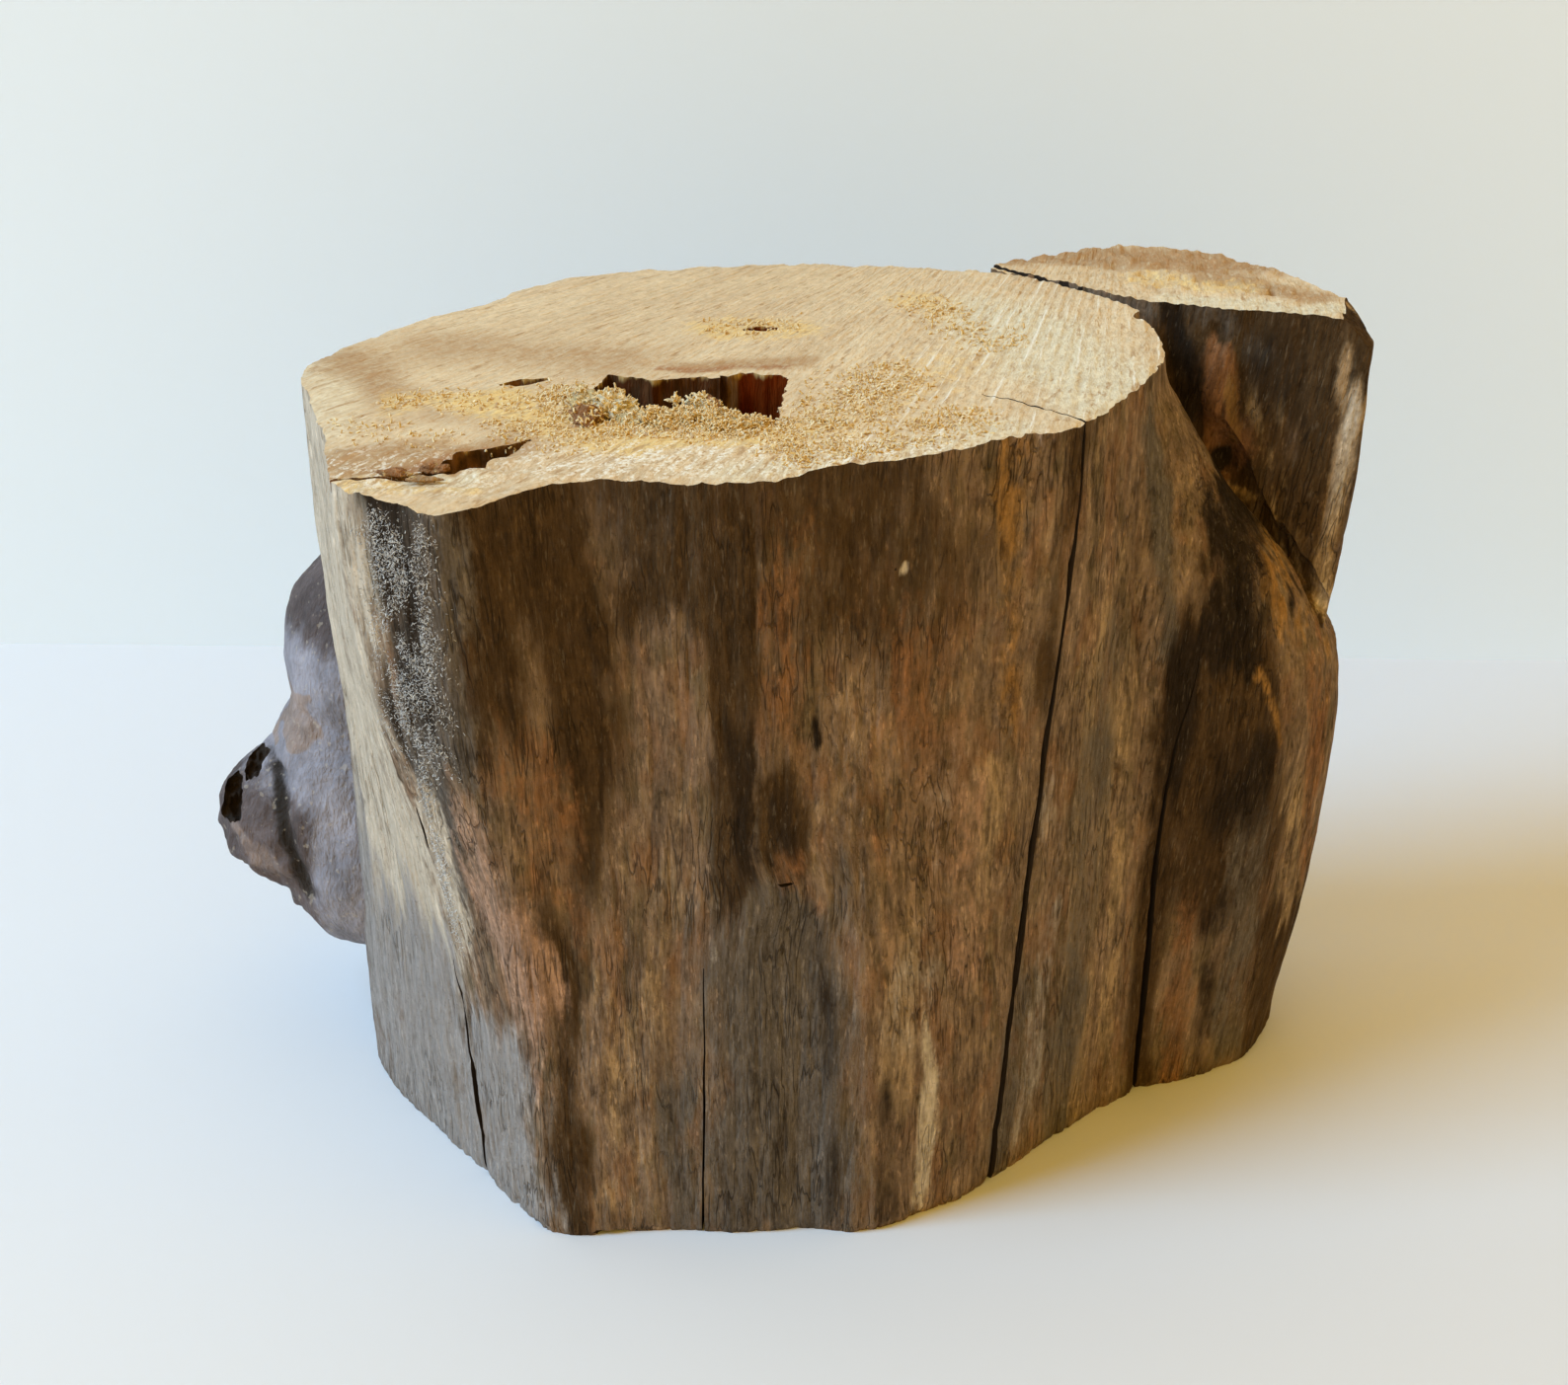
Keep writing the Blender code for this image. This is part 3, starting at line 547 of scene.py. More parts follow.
class MapleLogStudio(bpy.types.PropertyGroup):
    """Floor, wall and lights."""

    window_power: FloatProperty(
        name="Window", description="Power of the window light", default=120.0, min=0.0,
    )
    room_light: FloatProperty(
        name="Room", description="Strength of the light all round", default=0.86, min=0.0,
    )
    window_colour: colour_property("Window colour", "Colour of the window light", (0.28, 0.6, 1.0))
    room_colour: colour_property("Room colour", "Colour of the light all round", (1.0, 0.65, 0.14))
    paper: colour_property("Paper", "Floor and wall", (0.8, 0.8, 0.8))
    distance: colour_property("Distance", "Pale tone seen past the floor's edge", (0.84, 0.88, 0.92))
    wall_glow: FloatProperty(
        name="Wall glow", description="Light added to the wall as seen", default=0.2, min=0.0,
    )


# Curves and noise
def curve_through(knots, values, at):
    """Smooth curve through the knots that never swings past them, read at the points `at`."""
    knots = np.asarray(knots, float)
    values = np.asarray(values, float)
    steps = np.diff(knots)
    rises = np.diff(values) / steps
    slopes = np.zeros(len(knots))
    turning = rises[:-1] * rises[1:] <= 0
    safe_before = np.where(turning, 1.0, rises[:-1])
    safe_after = np.where(turning, 1.0, rises[1:])
    weight_before = 2 * steps[1:] + steps[:-1]
    weight_after = steps[1:] + 2 * steps[:-1]
    mean = (weight_before + weight_after) / (weight_before / safe_before + weight_after / safe_after)
    slopes[1:-1] = np.where(turning, 0.0, mean)
    at = np.clip(at, knots[0], knots[-1])
    cell = np.clip(np.searchsorted(knots, at, side="right") - 1, 0, len(steps) - 1)
    width = steps[cell]
    t = (at - knots[cell]) / width
    start = (1 + 2 * t) * (1 - t) ** 2 * values[cell] + t * (1 - t) ** 2 * width * slopes[cell]
    end = t * t * (3 - 2 * t) * values[cell + 1] + t * t * (t - 1) * width * slopes[cell + 1]
    return start + end


def lattice(cells, seed):
    """Repeatable value from -1 to 1 for each whole-numbered cell."""
    mixed = (cells * np.array([73856093, 19349663, 83492791])).sum(axis=1) + seed * 265443577
    mixed = (mixed ^ (mixed >> 13)) * 1274126177
    mixed = mixed ^ (mixed >> 16)
    return (mixed & 0xFFFF) / 32767.5 - 1.0


def noise(points, size, seed):
    """Smooth noise from -1 to 1. Its cells have one size, or one each along x, y and z."""
    scaled = np.asarray(points, float) / np.asarray(size, float)
    low = np.floor(scaled)
    t = scaled - low
    t = t * t * (3.0 - 2.0 * t)
    cells = low.astype(np.int64)
    total = np.zeros(len(scaled))
    for corner in np.ndindex(2, 2, 2):
        share = np.prod(np.where(np.array(corner) == 1, t, 1.0 - t), axis=1)
        total += share * lattice(cells + np.array(corner), seed)
    return total


def line_noise(values, size, seed):
    """Smooth noise along one line."""
    values = np.asarray(values, float)
    points = np.column_stack([values, np.zeros_like(values), np.zeros_like(values)])
    return noise(points, (size, 1.0, 1.0), seed)


def level_points(x, y):
    """Points at height 0."""
    return np.column_stack([x, y, np.zeros_like(y)])


def smooth_step(low, high, value):
    """Rise from 0 at low to 1 at high, soft at both ends."""
    t = np.clip((np.asarray(value, float) - low) / (high - low), 0.0, 1.0)
    return t * t * (3.0 - 2.0 * t)


def lengths_along(points):
    """Distance to each point along a line of them."""
    return np.concatenate(([0.0], np.cumsum(np.linalg.norm(np.diff(points, axis=0), axis=1))))


def closed_curve(points, count):
    """Even points on the smooth closed curve through the points given, which run counter-clockwise."""
    points = np.asarray(points, float)
    ring = np.vstack([points[-3:], points, points[:4]])
    steps = lengths_along(ring)
    start = steps[3]
    end = steps[3 + len(points)]
    at = start + np.arange(count) / count * (end - start)
    return np.column_stack([curve_through(steps, ring[:, k], at) for k in (0, 1)])


def closed_polygon(points, spacing):
    """Points at an even spacing on the straight-edged closed outline given."""
    points = np.asarray(points, float)
    ring = np.vstack([points, points[:1]])
    steps = lengths_along(ring)
    at = np.arange(0.0, steps[-1] - 0.5 * spacing, spacing)
    return np.column_stack([np.interp(at, steps, ring[:, k]) for k in (0, 1)])


def segment_distance(points, start, end):
    """Distance of points in a plane from a straight line between two places."""
    start = np.asarray(start, float)
    along = np.asarray(end, float) - start
    share = np.clip(((points - start) @ along) / max(along @ along, 1e-9), 0.0, 1.0)
    return np.linalg.norm(points - start - share[:, None] * along, axis=1)


def near_line(points, start, end, half, sharpness):
    """1 on a straight line in a plane, falling to 0 about a half width away."""
    return np.exp(-(segment_distance(points, start, end) / half) ** sharpness)


# Form of the main stem, as in the solid
def outline_radius(outline, angle):
    """Radius of a closed outline, given as (angle, radius) points, at the angles asked for."""
    turns = [a + turn for turn in (-360, 0, 360) for a, _ in outline]
    radii = [r for _ in range(3) for _, r in outline]
    return curve_through(turns, radii, np.mod(angle, 360.0))


def far_side(direction, centre, half):
    """Distance along each direction to the far side of an ellipsoid, falling away steeply beside it."""
    scaled = direction / half
    middle = centre / half
    a = (scaled * scaled).sum(axis=-1)
    b = (scaled * middle).sum(axis=-1)
    c = (middle * middle).sum(axis=-1) - 1.0
    inside = b * b - a * c
    steepness = np.where(inside > 0, 1.0, 3.0)
    return (b + steepness * np.sign(inside) * np.sqrt(np.abs(inside))) / a


def soft_max(a, b, softness=BLEND):
    """The larger of two radii, rounded where they meet."""
    return 0.5 * (a + b + np.sqrt((a - b) ** 2 + softness ** 2)) - 0.25 * softness ** 2 / (
        np.abs(a - b) + softness
    )


def angle_between(angle, other):
    """Signed difference of two angles, from -180 to 180."""
    return np.mod(angle - other + 180.0, 360.0) - 180.0


def knot_place(angle, height, radius):
    """Distances of points from the knot scar, across and along the grain."""
    return np.radians(angle_between(angle, KNOT_ANGLE)) * radius, height - KNOT_HEIGHT


def burl_base_swelling(angle, height):
    """Rise of the low swelling that carries the burl."""
    across = angle_between(angle, BURL_BASE_PLACE[0]) / BURL_BASE_SPREAD[0]
    along = (height - BURL_BASE_PLACE[1]) / BURL_BASE_SPREAD[1]
    return BURL_BASE_RISE * np.exp(-across ** 2 - along ** 4)


def level_direction(angle):
    """Level unit vectors at the angles given."""
    turn = np.radians(angle)
    return np.stack([np.cos(turn), np.sin(turn), np.zeros_like(turn)], axis=-1)


def collar(height):
    """Centre x and y and half axes of the collar's ellipse at the heights given."""
    return [
        curve_through(COLLAR_HEIGHTS, values, height)
        for values in (COLLAR_X, COLLAR_Y, COLLAR_HALF_X, COLLAR_HALF_Y)
    ]


def stem_radius(angle, height):
    """Radius of the main stem with its collar, the swelling under the burl and the knot."""
    angle, height = np.broadcast_arrays(np.asarray(angle, float), np.asarray(height, float))
    direction = level_direction(angle)
    share = curve_through(LEAN_HEIGHTS, LEAN_SHARE, height)
    foot, top = (outline_radius(outline, angle) for outline in (FOOT_OUTLINE, TOP_OUTLINE))
    radius = (1 - share) * foot + share * top
    x, y, half_x, half_y = collar(height)
    centre = np.stack([x, y, np.zeros_like(x)], axis=-1)
    half = np.stack([half_x, half_y, np.ones_like(x)], axis=-1)
    radius = soft_max(radius, far_side(direction, centre, half))
    across, along = knot_place(angle, height, radius)
    swelling = KNOT_SWELL * np.exp(-(across / KNOT_HALF[0]) ** 2 - (along / KNOT_HALF[1]) ** 2)
    return radius + swelling + burl_base_swelling(angle, height)


def stem_point(x, height, behind=False):
    """Point of the main stem's surface at an x and a height, on its front or behind."""
    angles = np.linspace(0.0, 360.0, SEARCH_STEPS)
    points = stem_radius(angles, height)[:, None] * level_direction(angles)
    near = points[np.abs(points[:, 0] - x) < SEARCH_WIDTH]
    depth = near[:, 1].max() if behind else near[:, 1].min()
    return np.array([x, depth, height])


def burl_points(directions):
    """Points of the burl's surface in the directions given from its middle."""
    middle = np.array(BURL_MIDDLE, float)
    radius = np.full(len(directions), 1.0)
    for centre, half in BURL_LUMPS:
        far = far_side(directions, np.array(centre) - middle, np.array(half, float))
        radius = soft_max(radius, far, BURL_BLEND)
    points = middle + radius[:, None] * directions
    for depth, length, start in BURL_WAVES:
        wave = np.prod(np.sin(points / length + start + np.array([0.0, 1.3, 2.1])), axis=1)
        points += depth * wave[:, None] * directions
    return points


# Grain
def grain_places(points):
    """Places in straight, even grain that points of the side have come from."""
    spread = 1.0 + GRAIN_TAPER * (TOP_CUT - points[:, 2])
    places = points * np.column_stack([spread, spread, np.ones(len(points))])
    angle = np.degrees(np.arctan2(points[:, 1], points[:, 0]))
    across, along = knot_place(angle, points[:, 2], np.hypot(points[:, 0], points[:, 1]))
    pull = np.exp(-(across / 13.0) ** 2 - (along / 15.0) ** 2)
    places[:, 0] += pull * 2.2 * np.sin(along / 6.0)
    places[:, 2] += 5.0 * pull * np.cos(across / 4.0)
    sway = np.column_stack([noise(points, (16.0, 16.0, 30.0), 21), noise(points, (16.0, 16.0, 30.0), 22)])
    places[:, :2] += 0.9 * sway
    return places


def side_relief(places, shape):
    """Height of the weathered side over its plain form, by places in the grain."""
    relief = np.zeros(len(places))
    for number, (depth, across, along) in enumerate(SIDE_RELIEF):
        relief += depth * noise(places, (across, across, along), 11 + number)
    depth, across, along, sharpness = FURROWS
    ridge = 1.0 - np.abs(noise(places, (across, across, along), 31))
    relief -= depth * ridge ** sharpness
    return shape.relief * relief


def saw_line(x, y):
    """Place on the X axis of the saw line through each point of the top cut."""
    line = np.asarray(x, float).copy()
    knots, leans = zip(*SAW_LINES)
    for _ in range(SAW_LINE_ROUNDS):
        line = 0.5 * line + 0.5 * (x - y * np.interp(line, knots, leans))
    return line


# Meshes
def add_object(name, points, faces, material):
    """Smooth object of a closed mesh, its points given in millimetres, its faces turned outwards."""
    mesh = bpy.data.meshes.new(name)
    mesh.from_pydata(np.asarray(points, float) * MM, [], faces)
    shape = bmesh.new()
    shape.from_mesh(mesh)
    bmesh.ops.recalc_face_normals(shape, faces=shape.faces)
    shape.to_mesh(mesh)
    shape.free()
    mesh.shade_smooth()
    mesh.materials.append(material)
    item = bpy.data.objects.new(name, mesh)
    bpy.context.scene.collection.objects.link(item)
    return item


def band_faces(levels, count, closed=True):
    """Faces between rings of equal point count."""
    steps = np.arange(count if closed else count - 1)
    low, k = np.meshgrid(np.arange(levels - 1) * count, steps, indexing="ij")
    after = (k + 1) % count
    faces = np.stack([low + k, low + after, low + count + after, low + count + k], axis=-1)
    return faces.reshape(-1, 4).tolist()


def loft(name, rings, material):
    """Closed solid through rings of equal point count, from the lowest to the highest."""
    count = len(rings[0])
    points = np.concatenate(rings)
    faces = band_faces(len(rings), count)
    faces.append(list(reversed(range(count))))
    faces.append(list(range(len(points) - count, len(points))))
    return add_object(name, points, faces, material)


def surface_normals(grid):
    """Outward normals of a grid of points whose rows are closed rings from the lowest to the highest."""
    around = np.roll(grid, -1, axis=1) - np.roll(grid, 1, axis=1)
    up = np.gradient(grid, axis=0)
    normals = np.cross(around, up)
    return normals / np.maximum(np.linalg.norm(normals, axis=2), 1e-9)[:, :, None]


def carve(piece, cutters):
    """Cut a piece with closed cutters, whose material goes onto the cut, and remove them."""
    for cutter in cutters:
        modifier = piece.modifiers.new(cutter.name, "BOOLEAN")
        modifier.operation = "DIFFERENCE"
        modifier.solver = "MANIFOLD"
        modifier.material_mode = "TRANSFER"
        modifier.object = cutter
    flatten(piece)
    for cutter in cutters:
        bpy.data.objects.remove(cutter)


def flatten(piece):
    """Turn a piece with modifiers into a plain mesh."""
    graph = bpy.context.evaluated_depsgraph_get()
    mesh = bpy.data.meshes.new_from_object(piece.evaluated_get(graph))
    piece.modifiers.clear()
    mesh.validate()
    piece.data = mesh


def mesh_points(mesh):
    """Points of a mesh in millimetres."""
    points = np.empty(len(mesh.vertices) * 3)
    mesh.vertices.foreach_get("co", points)
    return points.reshape(-1, 3) / MM


def store(mesh, name, values):
    """Keep a number or a vector for each point of a mesh."""
    values = np.asarray(values, float)
    kind = "FLOAT" if values.ndim == 1 else "FLOAT_VECTOR"
    layer = mesh.attributes.get(name) or mesh.attributes.new(name, kind, "POINT")
    layer.data.foreach_set("value" if values.ndim == 1 else "vector", values.ravel())


def finish_piece(piece):
    """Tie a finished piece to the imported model."""
    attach(piece, LOG_BODY)
    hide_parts(LOG_NODE)


# Cutters
def lidded_block(name, points, columns, lid_over, material):
    """Closed block: a grid of points, the lid that `lid_over` puts over its border, and its walls."""
    rows = len(points) // columns
    numbers = np.arange(len(points)).reshape(rows, columns)
    border = np.concatenate([numbers[0, :-1], numbers[:-1, -1], numbers[-1, :0:-1], numbers[:0:-1, 0]])
    faces = band_faces(rows, columns, closed=False)
    start = len(points)
    for k in range(len(border)):
        after = (k + 1) % len(border)
        faces.append([int(border[k]), int(border[after]), start + after, start + k])
    faces.append([start + k for k in range(len(border))])
    return add_object(name, np.vstack([points, lid_over(points[border])]), faces, material)


def saw_cutter(name, low, high, spacing, height, material):
    """Waste that the saw takes off above a cut; `height` gives the cut's face by x, y and saw line."""
    lines = np.arange(low[0], high[0], spacing[0])
    rows = np.arange(low[1], high[1], spacing[1])
    knots, leans = zip(*SAW_LINES)
    line, y = np.meshgrid(lines, rows)
    x = line + y * np.interp(line, knots, leans)
    z = height(x.ravel(), y.ravel(), line.ravel())
    points = np.column_stack([x.ravel(), y.ravel(), z])

    def lid_over(edge):
        return np.column_stack([edge[:, :2], np.full(len(edge), TOP_CUT + 4 * OVERSHOOT)])

    return lidded_block(name, points, len(lines), lid_over, material)


def groove_cutter(name, places, side, out, width, depth, roughness, seed, material):
    """Groove with rough walls along a line of places on a surface that faces `out`."""
    rings = []
    for k, (place, across, away) in enumerate(zip(places, side, out)):
        ring = []
        for number, (reach, down, over) in enumerate(GROOVE_PROFILE):
            jitter = 0.0 if over else roughness * line_noise([k * 0.45 + 17.3 * number], 1.0, seed)[0]
            sideways = 0.5 * (width[k] * reach + jitter)
            ring.append(place + sideways * across + (over * OVERSHOOT - depth[k] * down + jitter) * away)
        rings.append(np.array(ring))
    return loft(name, rings, material)


def side_groove(name, facing, line, material, seed):
    """Drying crack in the main stem's side."""
    heights = np.array([place[1] for place, _, _ in line], float)[::-1]
    at = np.arange(heights[0], heights[-1] + 0.1, 2.0)
    values = []
    for number in range(3):
        column = [(place[0], width, depth)[number] for place, width, depth in line][::-1]
        values.append(curve_through(heights, column, at))
    x, width, depth = values
    x = x + 0.16 * line_noise(at, 16.0, seed) + 0.07 * line_noise(at, 5.0, seed + 1)
    width = width * (1.0 + 0.15 * line_noise(at, 9.0, seed + 2))
    away = level_direction(facing)
    across = level_direction(facing + 90.0)
    places = np.array([stem_point(px, pz, behind=away[1] > 0) for px, pz in zip(x, at)])
    side, out = (np.tile(direction, (len(at), 1)) for direction in (across, away))
    return groove_cutter(name, places, side, out, width, depth, CRACK_ROUGHNESS, seed, material)


def top_groove(name, line, material, seed, step=0.8, roughness=0.35, wander=0.5):
    """Opening let into the top cut along a line of (x, y), width, depth."""
    knots = np.array([place for place, _, _ in line], float)
    run = lengths_along(knots)
    at = np.linspace(0.0, run[-1], max(int(run[-1] / step), 6))
    x = np.interp(at, run, knots[:, 0])
    y = np.interp(at, run, knots[:, 1])
    width = curve_through(run, [w for _, w, _ in line], at) * (1.0 + 0.22 * line_noise(at, 2.2, seed))
    depth = curve_through(run, [d for _, _, d in line], at) * (1.0 + 0.2 * line_noise(at, 3.0, seed + 1))
    along = np.column_stack([np.gradient(x), np.gradient(y), np.zeros_like(x)])
    along /= np.linalg.norm(along, axis=1)[:, None]
    across = np.column_stack([-along[:, 1], along[:, 0], np.zeros_like(x)])
    places = np.column_stack([x, y, np.full_like(x, TOP_CUT)])
    places += (wander * line_noise(at, 3.5, seed + 2))[:, None] * across
    out = np.tile(np.array([0.0, 0.0, 1.0]), (len(at), 1))
    return groove_cutter(name, places, across, out, width, depth, roughness, seed, material)


def pocket_cutter(name, rim, depth, seed, material):
    """Rotted pocket with upright fibres in its walls and a crumbled floor."""
    outline = closed_polygon(rim, 0.8)
    middle = outline.mean(axis=0)
    away = outline - middle
    away /= np.linalg.norm(away, axis=1)[:, None]
    flat = np.column_stack([outline, np.zeros(len(outline))])
    fibres = 0.45 * noise(flat, (1.6, 1.6, 1.0), seed) + 0.3 * noise(flat, (0.9, 0.9, 1.0), seed + 1)
    levels = np.concatenate([np.linspace(-depth, 0.0, 30), [OVERSHOOT]])
    rings = []
    for share in (0.25, 0.6, 0.85):
        ring = middle + POCKET_TAPER * share * (outline - middle)
        level = np.column_stack([ring, np.full(len(outline), TOP_CUT - depth)])
        level[:, 2] += 1.6 * noise(level, 3.0, seed + 2) * (1.1 - share)
        rings.append(level)
    for drop in levels:
        scale = 1.0 + (1.0 - POCKET_TAPER) * min(drop, 0.0) / depth
        ring = middle + scale * (outline - middle)
        ring = np.column_stack([ring, np.full(len(outline), TOP_CUT + drop)])
        torn = 0.5 * noise(ring, (1.8, 1.8, 5.0), seed + 3)
        torn += 0.25 * noise(ring, (0.9, 0.9, 2.0), seed + 4)
        ring[:, :2] += (fibres + torn)[:, None] * away
        rings.append(ring)
    return loft(name, rings, material)


def crease_cutter(name, material):
    """Round trough of the bark crease between the stems."""
    knots = np.array([place for place, _ in CREASE_PATH], float)
    radii = [radius for _, radius in CREASE_PATH]
    run = lengths_along(knots)
    at = np.linspace(0.0, run[-1], 90)
    places = np.column_stack([curve_through(run, knots[:, k], at) for k in range(3)])
    radius = curve_through(run, radii, at)
    along = np.gradient(places, axis=0)
    along /= np.linalg.norm(along, axis=1)[:, None]
    turn = np.arange(56) / 56 * 2 * np.pi
    rings = []
    for place, direction, reach in zip(places, along, radius):
        across = np.cross(direction, (0.0, 1.0, 0.0))
        across /= np.linalg.norm(across)
        up = np.cross(across, direction)
        spoke = np.cos(turn)[:, None] * across + np.sin(turn)[:, None] * up
        ring = place + reach * spoke
        bark = 1.5 * noise(ring, (6.0, 6.0, 13.0), 71) + 0.8 * noise(ring, (2.4, 2.4, 6.0), 72)
        rings.append(ring + bark[:, None] * spoke)
    return loft(name, rings, material)


def unit_ball(subdivisions):
    """Points and faces of a ball of radius one."""
    shape = bmesh.new()
    bmesh.ops.create_icosphere(shape, subdivisions=subdivisions, radius=1.0)
    points = np.array([vertex.co for vertex in shape.verts])
    faces = [[vertex.index for vertex in face.verts] for face in shape.faces]
    shape.free()
    return points / np.linalg.norm(points, axis=1)[:, None], faces


def round_cutter(name, centre, half, roughness, seed, material):
    """Rough round cutter of the given half axes."""
    points, faces = unit_ball(5)
    swell = 1.0 + roughness * noise(points, 0.5, seed) + 0.4 * roughness * noise(points, 0.2, seed)
    moved = np.array(centre, float) + points * swell[:, None] * np.array(half, float)
    return add_object(name, moved, faces, material)


def wane_cutter(name, material):
    """Block that bevels the corner of the second stem's top, with a bark-rough face."""
    facing = np.array(WANE_FACING) / np.linalg.norm(WANE_FACING)
    side = np.cross(facing, (0.0, 0.0, 1.0))
    side /= np.linalg.norm(side)
    up = np.cross(side, facing)
    count = 44
    steps = np.linspace(-WANE_SIZE, WANE_SIZE, count)
    i, j = np.meshgrid(steps, steps)
    face = np.array(WANE_POINT) + i.reshape(-1, 1) * side + j.reshape(-1, 1) * up
    face += (0.5 * noise(face, 6.0, 81) + 0.3 * noise(face, 2.2, 82))[:, None] * facing
    return lidded_block(name, face, count, lambda edge: edge + WANE_SIZE * facing, material)


# Masks
def zone_share(across, along, start, end, half, fade):
    """How far points lie in a zone between two places, 1 in its middle and 0 well outside."""
    share = np.clip((along - start[1]) / (end[1] - start[1]), 0.0, 1.0)
    off = (across - start[0] - share * (end[0] - start[0])) / half
    low, high = sorted((start[1], end[1]))
    past = np.maximum(np.maximum(low - along, along - high), 0.0) / fade
    return np.exp(-off ** 4 - past ** 2)


def side_zone(points, start, end, half, fade):
    """How far points lie in a zone between two places given as (x, height)."""
    return zone_share(points[:, 0], points[:, 2], start, end, half, fade)


def paint_zones(masks, points, places, zones, weight):
    """Lay zones over the masks of the side's tones, their ends drawn out along the fibres."""
    drawn = 9.0 * noise(places, (2.4, 2.4, 300.0), 51) + 10.0 * noise(places, (9.0, 9.0, 30.0), 52)
    waver = 2.6 * noise(places, (9.0, 9.0, 22.0), 53) + 1.2 * noise(places, (3.0, 3.0, 9.0), 54)
    for tone, lines in zones.items():
        for start, end, half, fade, strength in lines:
            across = points[:, 0] + waver * min(1.0, half / 5.0)
            along = points[:, 2] + drawn * min(1.0, abs(start[1] - end[1]) / 30.0)
            value = zone_share(across, along, start, end, half, fade)
            masks[tone] = 1.0 - (1.0 - masks[tone]) * (1.0 - strength * weight * value)


def front_share(points):
    """1 on the side that the front zones describe and 0 behind, its edge uneven at the left."""
    edge = np.interp(points[:, 0], (-130, -60, 60, 95, 145), (0, 0, 5, 18, 38))
    left = smooth_step(-60.0, -75.0, points[:, 0])
    edge += left * (11.0 * noise(points, (7.0, 7.0, 34.0), 73) + 6.0)
    reach = 6.0 + 7.0 * left
    return smooth_step(-1.0, 1.0, (edge - points[:, 1]) / reach)


def paint_patches(points, tones, patches):
    """Masks of a sawn face's tones."""
    masks = {tone: np.zeros(len(points)) for tone in tones}
    shift = np.column_stack([4.0 * noise(points, 9.0, 61), 4.0 * noise(points, 9.0, 62)])
    for tone, lines in patches.items():
        for start, end, half, strength in lines:
            value = near_line(points[:, :2] + shift, start, end, half, 3)
            masks[tone] = 1.0 - (1.0 - masks[tone]) * (1.0 - strength * value)
    return masks


def fuzz_share(points):
    """How thickly torn fibres stand on the top cut."""
    total = np.zeros(len(points))
    shift = 3.0 * noise(points, 7.0, 63)
    for start, end, half, share in FUZZ_PATCHES:
        value = near_line(points[:, :2] + shift[:, None], start, end, half, 3)
        total = np.maximum(total, share * value)
    total *= smooth_step(1.0, 4.0, rim_distance(points))
    clumps = smooth_step(-0.5, 0.5, noise(points, 2.6, 64))
    level = smooth_step(TOP_CUT - 2.6, TOP_CUT - 1.2, points[:, 2])
    return total * (0.25 + 0.75 * clumps) * level


def rim_distance(points):
    """Distance of points of the top cut from the main stem's edge, inwards."""
    angle = np.degrees(np.arctan2(points[:, 1], points[:, 0]))
    return stem_radius(angle, TOP_CUT) - np.hypot(points[:, 0], points[:, 1])


# Heights of the sawn faces
def saw_ridge(line, y, pitch):
    """Height from 0 to 1 of the saw lines on the main stem's top cut, which are clearest at the right."""
    wobble = 0.9 * noise(level_points(line, y), (14.0, 40.0, 1.0), 91)
    rows = 0.3 + 0.7 * smooth_step(-10.0, 50.0, line)
    return rows * (0.5 + 0.5 * np.sin(2 * np.pi * line / pitch + wobble)) ** 1.6


def main_cut_height(shape):
    """Function that gives the height of the main stem's top cut."""
    pitch = shape.saw_pitch / MM
    depth = shape.saw_depth / MM

    def height(x, y, line):
        flat = level_points(x, y)
        sawn = level_points(line, y)
        z = TOP_CUT - 0.3 - depth * (1.0 - saw_ridge(line, y, pitch))
        z += 0.1 * noise(sawn, (1.0, 3.0, 1.0), 92) + 0.08 * noise(sawn, (2.2, 7.0, 1.0), 93)
        z += 0.07 * noise(flat, (1.2, 1.2, 1.0), 90)
        z += 0.22 * noise(flat, (26.0, 26.0, 1.0), 94)
        torn = np.clip(fuzz_share(np.column_stack([x, y, np.full_like(x, TOP_CUT)])) * 1.5, 0.0, 1.0)
        tears = 0.34 * noise(flat, (1.5, 1.5, 1.0), 95) + 0.2 * noise(flat, (3.2, 3.2, 1.0), 96)
        z += torn * (tears - 0.15)
        lobe = near_line(flat[:, :2], *LOBE_RELIEF, 4)
        steps = 0.9 * noise(flat, (7.0, 2.4, 1.0), 97) + 0.4 * noise(flat, (2.2, 1.1, 1.0), 98)
        z += lobe * (steps - 0.7)
        scored = near_line(flat[:, :2], *SCORED, 4)
        z += scored * 0.22 * noise(sawn, (1.5, 7.0, 1.0), 89)
        rim = rim_distance(flat)
        chips = 0.5 + 0.5 * noise(flat, (3.0, 3.0, 1.0), 99)
        z -= (0.25 + 0.9 * chips ** 2) * (1.0 - smooth_step(0.0, 1.5 + 1.5 * chips, rim))
        return z

    return height


def fork_cut_height(shape):
    """Function that gives the height of the second stem's top cut."""
    depth = shape.saw_depth / MM

    def height(x, y, line):
        flat = level_points(x, y)
        z = TOP_CUT - 0.4 + 0.3 * noise(flat, (14.0, 14.0, 1.0), 101)
        z += 0.35 * depth * np.sin(2 * np.pi * line / (shape.saw_pitch / MM))
        z += 0.3 * noise(flat, (2.4, 2.4, 1.0), 102) + 0.18 * noise(flat, (1.2, 1.2, 1.0), 103)
        band = near_line(flat[:, :2], (88, 62), (128, 48), 5.0, 2)
        pits = smooth_step(0.15, 0.75, noise(flat, (2.6, 2.2, 1.0), 104))
        rear = near_line(flat[:, :2], (66, 78), (128, 67), 8.0, 4)
        broken = 0.7 * noise(flat, (4.2, 3.0, 1.0), 105) + 0.45 * noise(flat, (1.7, 1.4, 1.0), 106)
        z += rear * (broken - 0.5)
        return z - band * pits * 1.6

    return height


# Shader nodes
SPAN_INPUTS = ("Value", "From Min", "From Max", "To Min", "To Max")


